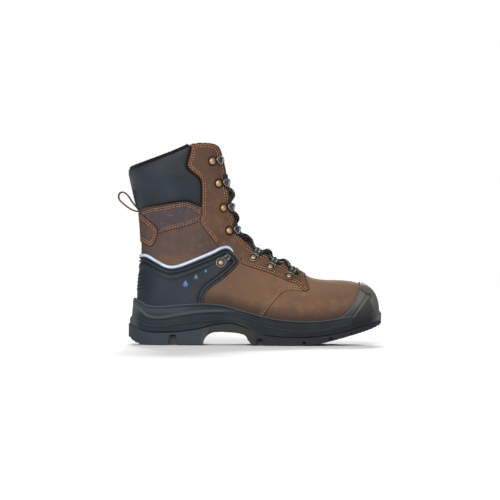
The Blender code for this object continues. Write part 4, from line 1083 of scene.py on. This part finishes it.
def bumperRelief(place, turn, edge, height, marks):
    points = skin(place, turn)
    x, z = points[..., 0], points[..., 2]
    share = spanShare(bumperLook, x)
    height = height + (bumperLook["full"] - bumperLook["edge"]) * share
    sunk = eased(polygonDepth(toeFacet, x, z), -0.4, 1.4)
    apart = {name: fromSegment(x, z, *line)[1] for name, line in bumperLines.items()}
    cut = np.exp(-apart["cut"] / 0.8) + np.exp(-((np.sqrt(apart["rail"]) - 2.6) ** 2) / 0.6) * (1 - sunk)
    rail = np.exp(-apart["rail"] / 1.2)
    height = height - bumperLook["facet"] * sunk - 0.8 * cut + 0.5 * rail
    # a painted highlight on the lip, the front and the rail; painted shade in the cuts and the sunk facet
    crest = bell(edge - 1.4, 1.0) + 0.55 * eased(x, 149, 154) + 0.8 * rail
    crest = np.clip(crest, 0, 1) * (1 - 0.8 * sunk)
    return height, {**marks, "crest": crest, "hollow": np.clip(cut + 0.8 * sunk, 0, 1)}


bumperProfile = ((0, 0.7), (0.4, 1.5), (0.9, 2.0), (2.2, 2.1), (2.8, 1.75), (4.0, 1.9))
panel("toe_bumper", ((-1.0, 0.9), (-0.6, 0.6)), 1.1, [sideDepth(bumperOutline)], bumperProfile,
      soleRubber, "sole", [above(lines["bumperStep"], 3.0)], "midsole", extra=bumperRelief)

# the outsole: a tread cut by gaps and channels, worked out over its plan
treadLook = {"cell": 1.6, "bevel": 1.0, "slope": 2.4, "reach": 9.0, "teeth": 0.8, "channel": 5.0, "deep": 4.0}
lugGaps = ((-91.5, 12.0, 12.5), (13.0, 11.0, 8.0), (66.0, 7.0, 5.5), (98.0, 7.4, 10.3), (122.5, 7.0, 16.0))
treadChannels = ((10.0, 116.0, -20.0), (10.0, 116.0, 19.0), (-122.0, -62.0, 0.0))
treadLine = joined(smoothLine(lines["heelBevel"]), smoothLine(lines["arch"]), smoothLine(lines["toeSpring"]))


def treadPlan(count):
    plan = offsetLine(smoothLoop(solePlan, count), -1.6, closed=True)
    plan[:, 0] -= soleLook["heelFlare"] * np.clip((last["heel"] + 30 - plan[:, 0]) / 30, 0, 1)
    return plan


def box(left, right, low, high):
    return np.array(((left, low), (right, low), (right, high), (left, high)))


def makeOutsole():
    plan = treadPlan(360)
    low, high = plan.min(0), plan.max(0)
    columns = int((high[0] - low[0]) / treadLook["cell"]) + 3
    rows = int((high[1] - low[1]) / treadLook["cell"]) + 3
    across, along = np.linspace(low[1] - 1, high[1] + 1, rows), np.linspace(low[0] - 1, high[0] + 1, columns)
    y, x = np.meshgrid(across, along, indexing="ij")
    patch = (y.ravel(), x.ravel(), gridTriangles(rows, columns))
    edgeOf = lambda y, x: polygonDepth(plan, x, y)
    patch = cutPatch(patch, edgeOf, [0.0, treadLook["bevel"]])
    shapes = []
    for middle, width, roof in lugGaps:
        for sign in (-1, 1):
            side = plan[plan[:, 1] * sign > 0]
            side = side[np.argsort(side[:, 0])]
            edge = np.interp(middle, side[:, 0], side[:, 1])
            inner, beyond = edge - sign * treadLook["reach"], edge + sign * 30
            shapes.append((box(middle - width / 2, middle + width / 2, inner, beyond), roof, None))
    for start, end, across in treadChannels:
        half = treadLook["channel"] / 2
        shapes.append((box(start, end, across - half, across + half), None, treadLook["deep"]))
    for outline, _, _ in shapes:
        inShape = lambda y, x, o=outline: polygonDepth(o, x, y)
        patch = cutPatch(patch, inShape, [0.0, treadLook["slope"]], keep=False)
    y, x, tris = patch
    tread = np.interp(x, treadLine[:, 0], treadLine[:, 1])
    edge = edgeOf(y, x)
    under = tread + (1 - np.clip(edge / treadLook["bevel"], 0, 1)) * 0.4
    under = under + treadLook["teeth"] * eased(np.sin(x * 1.35), -0.2, 0.6) * eased(edge, 5.0, 3.5)
    notch = np.zeros(len(x))
    for outline, roof, depth in shapes:
        inside = np.clip(polygonDepth(outline, x, y) / treadLook["slope"], 0, 1)
        notch = np.maximum(notch, inside if roof is not None else 0)
        goal = np.maximum(tread, roof if roof is not None else tread + depth)
        under = np.maximum(under, tread + (goal - tread) * inside)
    top = np.maximum(lineHeight(lines["parting"], x) - 0.1, under + 0.5)
    points, *faces = closedShell(np.column_stack([x, y, under]), np.column_stack([x, y, top]), tris)
    breast = eased(x, -60, -56) * eased(x, -46, -52)
    arch = 0.5 * eased(x, -54, -46) * eased(x, 10, 2)
    dusty = np.clip(edge / 1.5, 0, 1) * (1 - 0.85 * notch)
    dusty = np.maximum(dusty, np.maximum(breast, arch))
    marks = {"under": np.concatenate([dusty, arch]), "shade": np.tile(arch, 2)}
    makePiece("outsole", points, faces, treadFinish(), "tread", ["outsole"], marks, sharp=35)


makeOutsole()
print("sole done")

# insole: a cloth-covered footbed with raised edges
insoleLook = {"thick": 4.0, "lift": 0.9, "cup": 3.0}


def makeInsole():
    along = np.linspace(-128, 146, 150)
    across = np.linspace(-1, 1, 41)
    height = footbed(along) + insoleLook["lift"] + insoleLook["thick"]
    edges = []
    for sign in (-1, 1):
        start = np.column_stack([along, np.full(len(along), sign * 200.0), height + 2])
        hits = hitsFrom(skinTree, start, np.tile((0, -sign, 0), (len(along), 1)))
        edges.append(np.where(hits[:, 3] > 0, hits[:, 1], 0) - sign * 4.0)
    left, right = np.minimum(edges[0], -1.0), np.maximum(edges[1], 1.0)
    y = left[:, None] + (right - left)[:, None] * (across + 1) / 2
    top = height[:, None] + insoleLook["cup"] * np.abs(across) ** 6 * eased(along, 110, 40)[:, None]
    upperFace = np.stack([np.broadcast_to(along[:, None], y.shape), y, top], -1).reshape(-1, 3)
    lowerFace = upperFace - (0, 0, insoleLook["thick"])
    tris = gridTriangles(len(along), len(across))[:, ::-1]
    points, *faces = closedShell(upperFace, lowerFace, tris)
    makePiece("insole", points, faces, clothFinish("footbed_cloth", "footbed", 1.6), "footbed", ["insole"])


makeInsole()

# tongue: a padded strip behind the throat, sunk towards the collar
tongueLook = {
    "thick": 3.2, "out": 3.1, "sunk": 9.0, "from": 140.0, "to": 225.0, "reach": 15.0, "top": 240.0,
    "fill": 0.5, "edge": (0, 0.6, 1.6, 3.5), "full": (0.45, 0.75, 0.92, 1.0),
}
tongueOutline = joined(offsetLine(throatLine, -30), [(-10, tongueLook["top"]), (-58, tongueLook["top"])],
                       offsetLine(throatLine, tongueLook["reach"])[::-1])


def makeTongue():
    depthOf = sideDepth(tongueOutline)
    place, turn, tris = cutPatch(startPatch((1.2, 13.0), (-0.3, 0.3), 1.6), depthOf, tongueLook["edge"])
    edge = depthOf(place, turn)
    points = skin(place, turn)
    share = spanShare(tongueLook, points[:, 2])
    sunk = -tongueLook["out"] - (tongueLook["sunk"] - tongueLook["out"]) * share
    full = np.interp(edge, tongueLook["edge"], tongueLook["full"]) * tongueLook["thick"]
    normal = skinNormal(place, turn)
    outside = points + normal * (sunk - tongueLook["thick"] / 2 + full / 2)[:, None]
    inside = points + normal * (sunk - tongueLook["thick"] / 2 - full / 2)[:, None]
    points, *faces = closedShell(outside, inside, tris)
    finish = clothFinish("tongue_cloth", "tongue", 2.4)
    made = makePiece("tongue", points, faces, finish, "textile", ["tongue"])


makeTongue()


# profiles carried along a path
def carried(path, normal, profile, closedPath=False, scale=None):
    # profile (across, out) set at each point of the path, square to it; ends are closed with a fan
    path, normal = np.asarray(path, float), np.asarray(normal, float)
    way = wayAlong(path, closedPath)
    normal = unit(normal - (normal * way).sum(1, keepdims=True) * way)
    across = np.cross(normal, way)
    profile = np.broadcast_to(profile, (len(path), *np.shape(profile)[-2:])).copy()
    if scale is not None:
        profile = profile * np.asarray(scale)[:, None, None]
    points = path[:, None] + across[:, None] * profile[..., :1] + normal[:, None] * profile[..., 1:]
    if closedPath:
        return points.reshape(-1, 3), [gridTriangles(*points.shape[:2], wrapped=True, looped=True)]
    return capped(points, [points[0].mean(0), points[-1].mean(0)])


def rounded(halfWidth, halfHeight, count, power=2.0, lift=0.0):
    # a superellipse as a profile
    angle = np.arange(count) / count * 2 * math.pi
    c, s = np.cos(angle), np.sin(angle)
    return np.stack([halfWidth * np.sign(c) * np.abs(c) ** (2 / power),
                     halfHeight * np.sign(s) * np.abs(s) ** (2 / power) + lift], 1)


def merged(pieces):
    # several (points, face sets) as one
    points, faces, base = [], [], 0
    for some, sets in pieces:
        faces += [one + base for one in sets]
        points.append(some)
        base += len(some)
    return np.concatenate(points), [np.concatenate(faces)]


def traced(line, turns):
    # place on the skin where each turn meets a side-view line, by halving
    low, high = np.full(len(turns), 4.0), np.full(len(turns), lastEnd)
    line = line[np.argsort(line[:, 0])]
    for _ in range(40):
        middle = (low + high) / 2
        points = skin(middle, turns)
        under = points[:, 2] < np.interp(points[:, 0], line[:, 0], line[:, 1])
        low, high = np.where(under, middle, low), np.where(under, high, middle)
    return (low + high) / 2


def turnAt(x, z, sign):
    # the turn of the skin point nearest to a side-view place
    place, turn = np.linspace(3, lastEnd, 400)[:, None], sign * np.linspace(0.02, 0.98, 300)[None, :]
    points = skin(place, turn)
    nearest = np.argmin(np.hypot(points[..., 0] - x, points[..., 2] - z))
    return turn[0, nearest % 300]


# pale piping along the counter's top edge, round the heel
pipingLook = {"across": 1.75, "out": 1.4, "lift": 1.4, "count": 460}


def roundHeel(line, back):
    # a side-view line on the skin: outer side to where it turns at x = back, behind the heel, inner side
    side = line[line[:, 0] > back][::-1]
    parts = []
    for sign in (-1, 1):
        start = np.column_stack([side[:, 0], np.full(len(side), sign * 300.0), side[:, 1]])
        parts.append(hitsFrom(skinTree, start, np.tile((0, -sign, 0), (len(side), 1)))[:, :3])
    turn = abs(turnAt(*line[np.argmin(np.abs(line[:, 0] - back))], 1))
    turns = np.linspace(2 - turn, turn, 80)[2:-2]
    behind = skin(traced(line, turns), turns)
    path = evenSteps(np.concatenate([parts[0], behind, parts[1][::-1]]), pipingLook["count"])
    normal = np.array([skinTree.find_nearest(Vector(p))[1] for p in path])
    return path, normal * np.sign((normal * (path - (-60, 0, 90))).sum(1, keepdims=True))


pipingPath, pipingNormal = roundHeel(offsetLine(smoothLine(lines["counterTop"], 12), 1.5), -120)
steps = np.arange(len(pipingPath))
taper = np.clip(np.minimum(steps, steps[::-1]) / 14, 0.1, 1) ** 0.6
piping = carried(pipingPath + pipingNormal * (pipingLook["lift"] + folds(pipingPath)[:, None]), pipingNormal,
                 rounded(pipingLook["across"], pipingLook["out"], 14, 2.3), scale=taper)
makePiece("piping", *piping, pipingFinish(), "piping", ["piping"])

# black binding rolled over the collar's edge
bindingLook = {"across": 1.7, "out": 3.4, "lift": 1.3, "count": 360}
bindingEnd = turnAt(-73.5, 239.9, 1)
bindingTurns = np.linspace(bindingEnd, 2 - bindingEnd, bindingLook["count"])
bindingPlace = traced(smoothLine(lines["collar"]), bindingTurns)
bindingNormal = skinNormal(bindingPlace, bindingTurns)
bindingPath = raised(bindingPlace, bindingTurns, np.full(len(bindingTurns), bindingLook["lift"]))
binding = carried(bindingPath, bindingNormal, rounded(bindingLook["across"], bindingLook["out"], 14, 2.6))
makePiece("collar_binding", *binding, clothFinish("binding_tape", "binding", 1.2), "textile")

# pull loop: a folded strap at the back
loopLook = {"width": 15.0, "thick": 2.0, "around": 90}
loopLine = smoothLoop(lines["pullLoop"], loopLook["around"])
loopPath = np.column_stack([loopLine[:, 0], np.zeros(len(loopLine)), loopLine[:, 1]])
loopOut = offsetLine(loopLine, -1.0, closed=True) - loopLine
loopOut = np.column_stack([loopOut[:, 0], np.zeros(len(loopOut)), loopOut[:, 1]])
loopFinish = clothFinish("loop_webbing", "loop", 1.8)
loopProfile = rounded(loopLook["width"] / 2, loopLook["thick"] / 2, 24, 5.0)
makePiece("pull_loop", *carried(loopPath, loopOut, loopProfile, closedPath=True), loopFinish, "panel_leather",
          ["pull_loop"], sharp=50)

# lace fittings: rings and hooks on round feet, each held by a rivet
fittingLook = {
    "rings": ((47.6, 82.4), (25, 93.3), (4.5, 104.4)), "ringAim": (0.55, 0.84),
    "ankle": (-34.5, 98.5), "ankleAim": (0.80, 0.60),
    "hooks": ((-25.5, 137.5), (-32.5, 165), (-38.5, 194.5), (-46, 221)), "hookAim": (0.97, 0.25),
    "eye": (9.2, 4.0), "eyeRadius": 3.3, "thick": 1.2, "headAt": (7.9, 1.1), "shield": 0.13,
    "hookWear": (0.1, 0.25), "ringWear": (0.42, 0.8),  # how rubbed the strips and the foot are
}


def sideHit(tree, x, z, sign):
    # where a level ray from one side meets a surface, and the normal there, turned outward
    spot, normal, _, _ = tree.ray_cast(Vector((x, sign * 300, z)), Vector((0, -sign, 0)))
    if spot is None:
        return None
    normal = np.array(normal)
    return np.array(spot), normal if normal[1] * sign > 0 else -normal


def frameAt(place, aim, offset, sign):
    # a place on the leather: origin, and directions towards the throat, across and out
    spot, out = sideHit(skinTree, *place, sign)
    ahead = np.array((aim[0], 0, aim[1]))
    ahead = unit(ahead - out * (ahead @ out))
    spot = spot + out * (folds(spot[None])[0] + offset)
    return spot, ahead, np.cross(out, ahead), out


def turnedOn(profile, count):
    # a closed profile (radius, height) turned about the height; its ends lie on the axis
    profile = np.asarray(profile, float)
    angle = np.arange(count) / count * 2 * math.pi
    body = np.stack([profile[1:-1, :1] * np.cos(angle), profile[1:-1, :1] * np.sin(angle),
                     np.repeat(profile[1:-1, 1:], count, axis=1)], -1)
    points, (faces,) = capped(body, [(0, 0, profile[0, 1]), (0, 0, profile[-1, 1])])
    return points, [faces[:, ::-1]]


def strip(line, widths, aside=0.0):
    # a flat strip bent along a line (ahead, out)
    line = smoothLine(line, 5)
    share = np.linspace(0, 1, len(line))
    wide = np.interp(share, np.linspace(0, 1, len(widths)), widths) / 2
    path = np.column_stack([line[:, 0], np.full(len(line), aside), line[:, 1]])
    way = np.gradient(path, axis=0)
    normal = np.cross(way, (0, 1, 0)) * -1
    profile = np.stack([rounded(half, fittingLook["thick"] / 2, 16, 3.0) for half in wide])
    return carried(path, normal, profile)


eyeAngles = np.radians(np.linspace(-130, 205, 10))
eyeX, eyeZ = fittingLook["eye"]
eyeRadius = fittingLook["eyeRadius"]
ringLine = [(4.4, 1.0), (5.3, 0.9)]
ringLine += [(eyeX + eyeRadius * math.cos(a), eyeZ + eyeRadius * math.sin(a)) for a in eyeAngles]
hookLine = [(-3.5, 0.6), (1.0, 0.6), (4.2, 0.7), (5.4, 2.0), (5.6, 4.4), (6.8, 6.0), (9.5, 6.3)]
ringShape = {
    "strips": ((ringLine[:7], (10.4, 9.0, 7.6, 7.0, 7.0), 0.0),  # line, widths and how far aside
               (ringLine[4:], (2.6, 2.6), 2.2), (ringLine[4:], (2.6, 2.6), -2.2)),
    "foot": ((0, 0.0), (5.3, 0.0), (5.9, 0.3), (6.2, 0.9), (5.9, 1.6), (5.3, 1.8), (4.8, 1.5), (4.5, 0.8),
             (0, 0.5)),
    "rivet": ((0, 0.4), (3.2, 0.4), (3.4, 0.9), (3.1, 1.6), (2.3, 2.2), (1.2, 2.5), (0, 2.55)),
    "head": None,
}
hookShape = {
    "strips": ((hookLine, (7.0, 7.0, 6.5, 6.5, 6.8, 7.0), 0.0),),
    "head": ((0, 5.7), (4.4, 5.7), (4.9, 6.1), (5.0, 6.9), (4.7, 7.5), (4.1, 7.7), (3.5, 7.3), (3.1, 6.9),
             (0, 6.9)),
    "foot": ((0, 0.0), (5.0, 0.0), (5.5, 0.25), (5.7, 0.8), (5.4, 1.3), (4.9, 1.4), (4.6, 1.1), (0, 1.1)),
    "rivet": ((0, 0.9), (4.1, 0.9), (4.3, 1.3), (4.15, 1.8), (3.5, 2.5), (2.5, 3.05), (1.3, 3.35), (0, 3.45)),
}
eyes = {side: [] for side, _ in sides}
metal, heads, wear, nodes, rivetNodes = [], [], [], [], []


def setOn(spot, ahead, across, out, shape):
    points, faces = shape
    return spot + points[:, :1] * ahead + points[:, 1:2] * across + points[:, 2:] * out, faces


def fit(name, place, aim, offset, sign, shapes):
    base = frameAt(place, aim, offset, sign)
    stripWear, footWear = fittingLook["hookWear" if shapes["head"] else "ringWear"]
    for line, widths, aside in shapes["strips"]:
        bent = strip(line, widths, aside)
        rim = np.abs(bent[0][:, 1] - aside) / max(widths) * 2
        metal.append(setOn(*base, bent))
        wear.append(stripWear + 0.5 * np.clip(rim, 0, 1) ** 2 * np.clip(bent[0][:, 2] / 3, 0, 1))
    foot = turnedOn(shapes["foot"], 32)
    metal.append(setOn(*base, foot))
    wear.append(np.clip((foot[0][:, 2] - 0.9) / 0.6, 0, 1) * footWear)
    if shapes["head"]:
        head, faces = turnedOn(shapes["head"], 30)
        angle = np.arctan2(head[:, 1] * -sign, head[:, 0])
        head[:, :2] *= (1 + fittingLook["shield"] * np.cos(3 * (angle + math.pi / 2)))[:, None]
        wear.append(0.42 + 0.55 * np.clip((head[:, 2] - 6.9) / 0.6, 0, 1))
        ahead, down = fittingLook["headAt"]
        metal.append(setOn(*base, (head + (ahead, down * sign, 0), faces)))
    heads.append(setOn(*base, turnedOn(shapes["rivet"], 24)))
    nodes.append(name)
    rivetNodes.append("rivet_" + name)
    spot, ahead, across, out = base
    return spot + ahead * eyeX + out * eyeZ, across * -sign, out, ahead


for side, sign in sides:
    for i, place in enumerate(fittingLook["rings"], 1):
        eyes[side].append(fit(f"ring_{side}_{i}", place, fittingLook["ringAim"], 1.7, sign, ringShape))
    fit(f"ring_{side}_ankle", fittingLook["ankle"], fittingLook["ankleAim"], 2.5, sign, ringShape)
    for i, place in enumerate(fittingLook["hooks"], 1):
        eyes[side].append(fit(f"hook_{side}_{i}", place, fittingLook["hookAim"], 1.7, sign, hookShape))
wearMark = {"wear": np.concatenate(wear)}
makePiece("lace_fittings", *merged(metal), metalFinish(), "fitting", nodes, wearMark, sharp=45)
makePiece("rivets", *merged(heads), brassFinish(), "rivet", rivetNodes)
print("fittings done")

# lace: one cord from hook to hook through the rings, crossing over the tongue
laceLook = {
    "across": 2.9, "thick": 1.75, "lift": 0.4, "sink": 2.9, "over": 1.65, "hooks": 3,
    "steps": 1500, "around": 14, "fine": 9, "grip": 3.4,
}


def heldOff(points, distances):
    held = []
    for point, distance in zip(points, distances):
        spot, normal, _, _ = skinTree.find_nearest(Vector(point))
        out = np.array(normal)
        out = out if out @ (np.array(spot) - (spot[0] - 20, 0, spot[2] - 40)) > 0 else -out
        height = (point - np.array(spot)) @ out
        held.append(point + out * max(0.0, distance - height))
    return np.array(held)


def makeLace():
    turns = len(fittingLook["rings"]) + laceLook["hooks"]
    route = []
    order = [(i, "lateral" if i % 2 == 0 else "medial") for i in range(turns - 1, -1, -1)]
    order += [(i, "medial" if i % 2 == 0 else "lateral") for i in range(turns)]
    for number, (i, side) in enumerate(order):
        eye, up, out, ahead = eyes[side][i]
        going = -1.0 if number < turns else 1.0
        grip = up * laceLook["grip"] * going
        through = [eye - grip - out * 0.2, eye, eye + grip - out * 0.2]
        if i >= len(fittingLook["rings"]):  # round the shank of a hook
            through = [p - ahead * 0.6 for p in through]
        if number in (0, 2 * turns - 1):
            tail = eye + up * 8.2 + out * 0.4 + ahead * 1.2
            through = [tail, *through[1:]] if number == 0 else [*through[:2], tail]
        if route:
            start, end = route[-1], through[0]
            over = laceLook["over"] if number < turns else -laceLook["over"]
            over = 0.0 if number == turns else over
            share = np.linspace(0, 1, 6)[1:-1, None]
            middle = np.array(start) * (1 - share) + np.array(end) * share
            low = laceLook["lift"] - laceLook["sink"] * eased(middle[:, 2], 130, 150)
            route += list(heldOff(middle, low + (over + 1.2 * np.abs(2 * share - 1) ** 2 * 2).ravel()))
        route += through
    count, around = laceLook["steps"], laceLook["around"]
    path = evenSteps(smoothLine(np.array(route), laceLook["fine"]), count)
    near = [skinTree.find_nearest(Vector(p)) for p in path[::10]]
    normal = np.array([n[1] for n in near])
    normal = np.where((normal[:, 2:] < 0) & (normal[:, :1] < 0), -normal, normal)
    steps = np.arange(0, count, 10)
    normal = np.stack([np.interp(np.arange(count), steps, normal[:, k]) for k in range(3)], 1)
    points, faces = carried(path, normal, rounded(laceLook["across"], laceLook["thick"], around, 2.4))
    length = lengthAlong(path)
    along = np.concatenate([np.repeat(length, around), [0, length[-1]]])
    angle = np.concatenate([np.tile(np.arange(around) / around * 2 * math.pi, count), [0, 0]])
    replaced = ["lace_bar"] + [f"lace_cross_{i}" for i in range(1, turns)]
    print("lace length", round(length[-1]), "mm")
    makePiece("lace", points, faces, laceFinish(), "lace", replaced, {"along": along, "around": angle})


makeLace()

# stitches: short rounded threads set along the seams, on whatever leather is on top
stitchLook = {
    "pitch": 3.2, "long": 2.2, "across": 0.42, "high": 0.42, "insets": (2.4, 4.8), "lift": 0.12, "skew": 0.05,
}
leatherNames = ["upper", "eyestay_lateral", "eyestay_medial", "ankle_band_lateral", "ankle_band_medial",
                "heel_tab", "heel_counter", "collar_pad"]


def treeOf(names):
    points, faces, base = [], [], 0
    for name in names:
        mesh = madePieces[name].data
        co = np.empty(len(mesh.vertices) * 3, np.float32)
        mesh.vertices.foreach_get("co", co)
        index = np.empty(len(mesh.loops), np.int32)
        mesh.loops.foreach_get("vertex_index", index)
        points.append(co.reshape(-1, 3) / mm - frameShift)
        faces.append(index.reshape(-1, 3) + base)
        base += len(mesh.vertices)
    return BVHTree.FromPolygons(np.concatenate(points).tolist(), np.concatenate(faces).tolist())


dressed = treeOf(leatherNames)


def seamOnSide(line, sign):
    line = np.asarray(line, float)
    length = lengthAlong(line)[-1]
    found = [sideHit(dressed, x, z, sign) for x, z in evenSteps(line, int(length / 0.4) + 2)]
    return np.array([np.concatenate(hit) for hit in found if hit and hit[0][1] * sign > 0])


def stitchesAlong(seam):
    length = lengthAlong(seam[:, :3])
    count = int(length[-1] / stitchLook["pitch"])
    want = (np.arange(count) + 0.5) * length[-1] / count
    before, spot, after = (np.stack([np.interp(want + step, length, seam[:, k]) for k in range(6)], 1)
                           for step in (-0.8, 0, 0.8))
    return spot[:, :3], spot[:, 3:], (after - before)[:, :3]


def makeStitches(seams):
    bead = [(math.cos(a), math.sin(a)) for a in np.radians((-52, -18, 18, 52))]
    shape, (faces,) = turnedOn([(0, -1), *bead, (0, 1)], 6)
    rows = [stitchesAlong(seam) for seam in seams if len(seam) > 12]
    spots, normals, ways = (np.concatenate(part) for part in zip(*rows))
    ways = unit(ways)
    normals = unit(normals - (normals * ways).sum(1, keepdims=True) * ways)
    across = np.cross(ways, normals)
    rng = np.random.default_rng(5)
    lean = ways + across * rng.normal(0, stitchLook["skew"], (len(spots), 1))
    points = (spots[:, None] + normals[:, None] * stitchLook["lift"]
              + across[:, None] * shape[None, :, :1] * stitchLook["across"]
              + normals[:, None] * shape[None, :, 1:2] * stitchLook["high"]
              + lean[:, None] * shape[None, :, 2:] * stitchLook["long"] / 2)
    index = faces[None] + (np.arange(len(spots)) * len(shape))[:, None, None]
    print("stitches", len(spots))
    makePiece("stitching", points.reshape(-1, 3), [index.reshape(-1, 3)], threadFinish(), "leather")


def seamLines():
    rows = []
    for inset in stitchLook["insets"]:
        rows.append(offsetLine(stayEdge, inset)[(stayEdge[:, 1] < 238) & (stayEdge[:, 1] > 121)])
        rows.append(offsetLine(stayFoot, inset)[(stayFoot[:, 1] < 88) | (stayFoot[:, 0] < 20)])
        rows.append(offsetLine(throatCollar, inset)[(throatCollar[:, 0] < 58) & (throatCollar[:, 0] > -71)])
        quarter = offsetLine(quarterLine, -inset)
        rows.append(quarter[(quarter[:, 0] < 62.5) & (quarter[:, 1] > 34) & (quarter[:, 1] < 75)])
        band = offsetLine(bandUpper, -inset + 0.6)
        rows.append(band[(band[:, 0] > -131) & (band[:, 0] < -58.5)])
        under = offsetLine(bandLower, -inset)
        rows.append(under[(under[:, 0] > -108.5) & (under[:, 0] < -59.5)])
        tab = offsetLine(tabLine, -inset)
        rows.append(tab[tab[:, 0] > -136.5])
    return rows


makeStitches([seamOnSide(line, sign) for line in seamLines() for sign in (-1, 1)])

# plain drop marks, moulded on the counter
dropLook = {
    "places": ((-76.3, 72.9, 3.6), (-63.6, 81.4, 2.7), (-52.1, 88.7, 2.1)),  # x, z and size
    "high": 0.7, "around": 28, "rows": 7,
}


def makeDrops():
    # a round lower half drawn out to a point above, domed over its middle
    ring = np.arange(dropLook["around"]) / dropLook["around"] * 2 * math.pi
    r = np.linspace(0.15, 1, dropLook["rows"])[:, None]
    a = np.sin(ring) * (1 - 0.45 * np.clip(np.cos(ring), 0, 1))
    b = np.cos(ring) * (1 + 0.55 * np.clip(np.cos(ring), 0, 1) ** 3)
    high = dropLook["high"] * np.sqrt(np.clip(1 - r**2, 0, 1)) - 0.25 * (r > 0.99)
    pieces = []
    counterTree = treeOf(["heel_counter"])
    for sign in (-1, 1):
        for x, z, size in dropLook["places"]:
            spot, out = sideHit(counterTree, x, z, sign)
            up = unit(np.array((0, 0, 1.0)) - out * out[2])
            across = np.cross(up, out)
            grid = (spot + (a * r * size)[..., None] * across + (b * r * size)[..., None] * up
                    + (high + 0 * a)[..., None] * out)
            pieces.append(capped(grid, [spot + out * dropLook["high"], spot - out * 0.3]))
    makePiece("drop_marks", *merged(pieces), dropFinish(), "counter")


makeDrops()

# floor, light and camera
stageLook = {
    "floor": (250, 250, 250), "sky": 0.24,
    "suns": ((4.4, -66, 18), (2.3, 66, 20)),  # strength, tilt and softness
    "lamps": (((-1.6, -3.0, 0.8), 1.3, 48), ((1.9, -2.6, 0.6), 1.4, 12)),  # place, size and power
    "width": 0.6062, "distance": 4.0, "height": 0.1144, "aside": 0.0004, "roll": -0.2, "sensor": 36,
}


def setUp(name, held, place, turned):
    obj = bpy.data.objects.new(name, held)
    obj.location, obj.rotation_euler = place, turned
    bpy.context.scene.collection.objects.link(obj)
    return obj


def makeStage():
    bpy.ops.mesh.primitive_circle_add(vertices=96, radius=7, fill_type="NGON", location=(0, 0, -0.0003))
    floor = bpy.context.object
    floor.name = "floor"
    paint = Finish("floor_paint", Roughness=1.0, Specular_IOR_Level=0.0)
    paint.colour(screen(*stageLook["floor"]))
    floor.data.materials.append(paint.material)
    world = bpy.data.worlds.new("studio")
    world.use_nodes = True
    tree = world.node_tree
    sky = tree.nodes["Background"]
    seen = tree.nodes.new("ShaderNodeLightPath")
    bright = tree.nodes.new("ShaderNodeMapRange")  # white behind the boot, dimmer as a light
    tree.links.new(seen.outputs["Is Camera Ray"], bright.inputs["Value"])
    bright.inputs["To Min"].default_value = stageLook["sky"]
    tree.links.new(bright.outputs["Result"], sky.inputs["Strength"])
    sky.inputs["Color"].default_value = (1, 1, 1, 1)
    bpy.context.scene.world = world
    for place, size, power in stageLook["lamps"]:
        lamp = bpy.data.lights.new("lamp", "AREA")
        lamp.shape, lamp.size, lamp.energy = "DISK", size, power
        towards = Vector((0, 0, 0.1)) - Vector(place)
        setUp("lamp", lamp, place, towards.to_track_quat("-Z", "Y").to_euler())
    for power, tilt, soft in stageLook["suns"]:
        lamp = bpy.data.lights.new("sun", "SUN")
        lamp.energy, lamp.angle = power, math.radians(soft)
        setUp("sun", lamp, (0, 0, 0), (math.radians(tilt), 0, 0))
    camera = bpy.data.cameras.new("photo")
    camera.sensor_width = stageLook["sensor"]
    camera.lens = stageLook["sensor"] * stageLook["distance"] / stageLook["width"]
    place = (stageLook["aside"], -stageLook["distance"], stageLook["height"])
    turned = (math.pi / 2, math.radians(stageLook["roll"]), 0)
    bpy.context.scene.camera = setUp("photo", camera, place, turned)
    bpy.context.scene.view_settings.view_transform = "Standard"


makeStage()
print("scene ready")
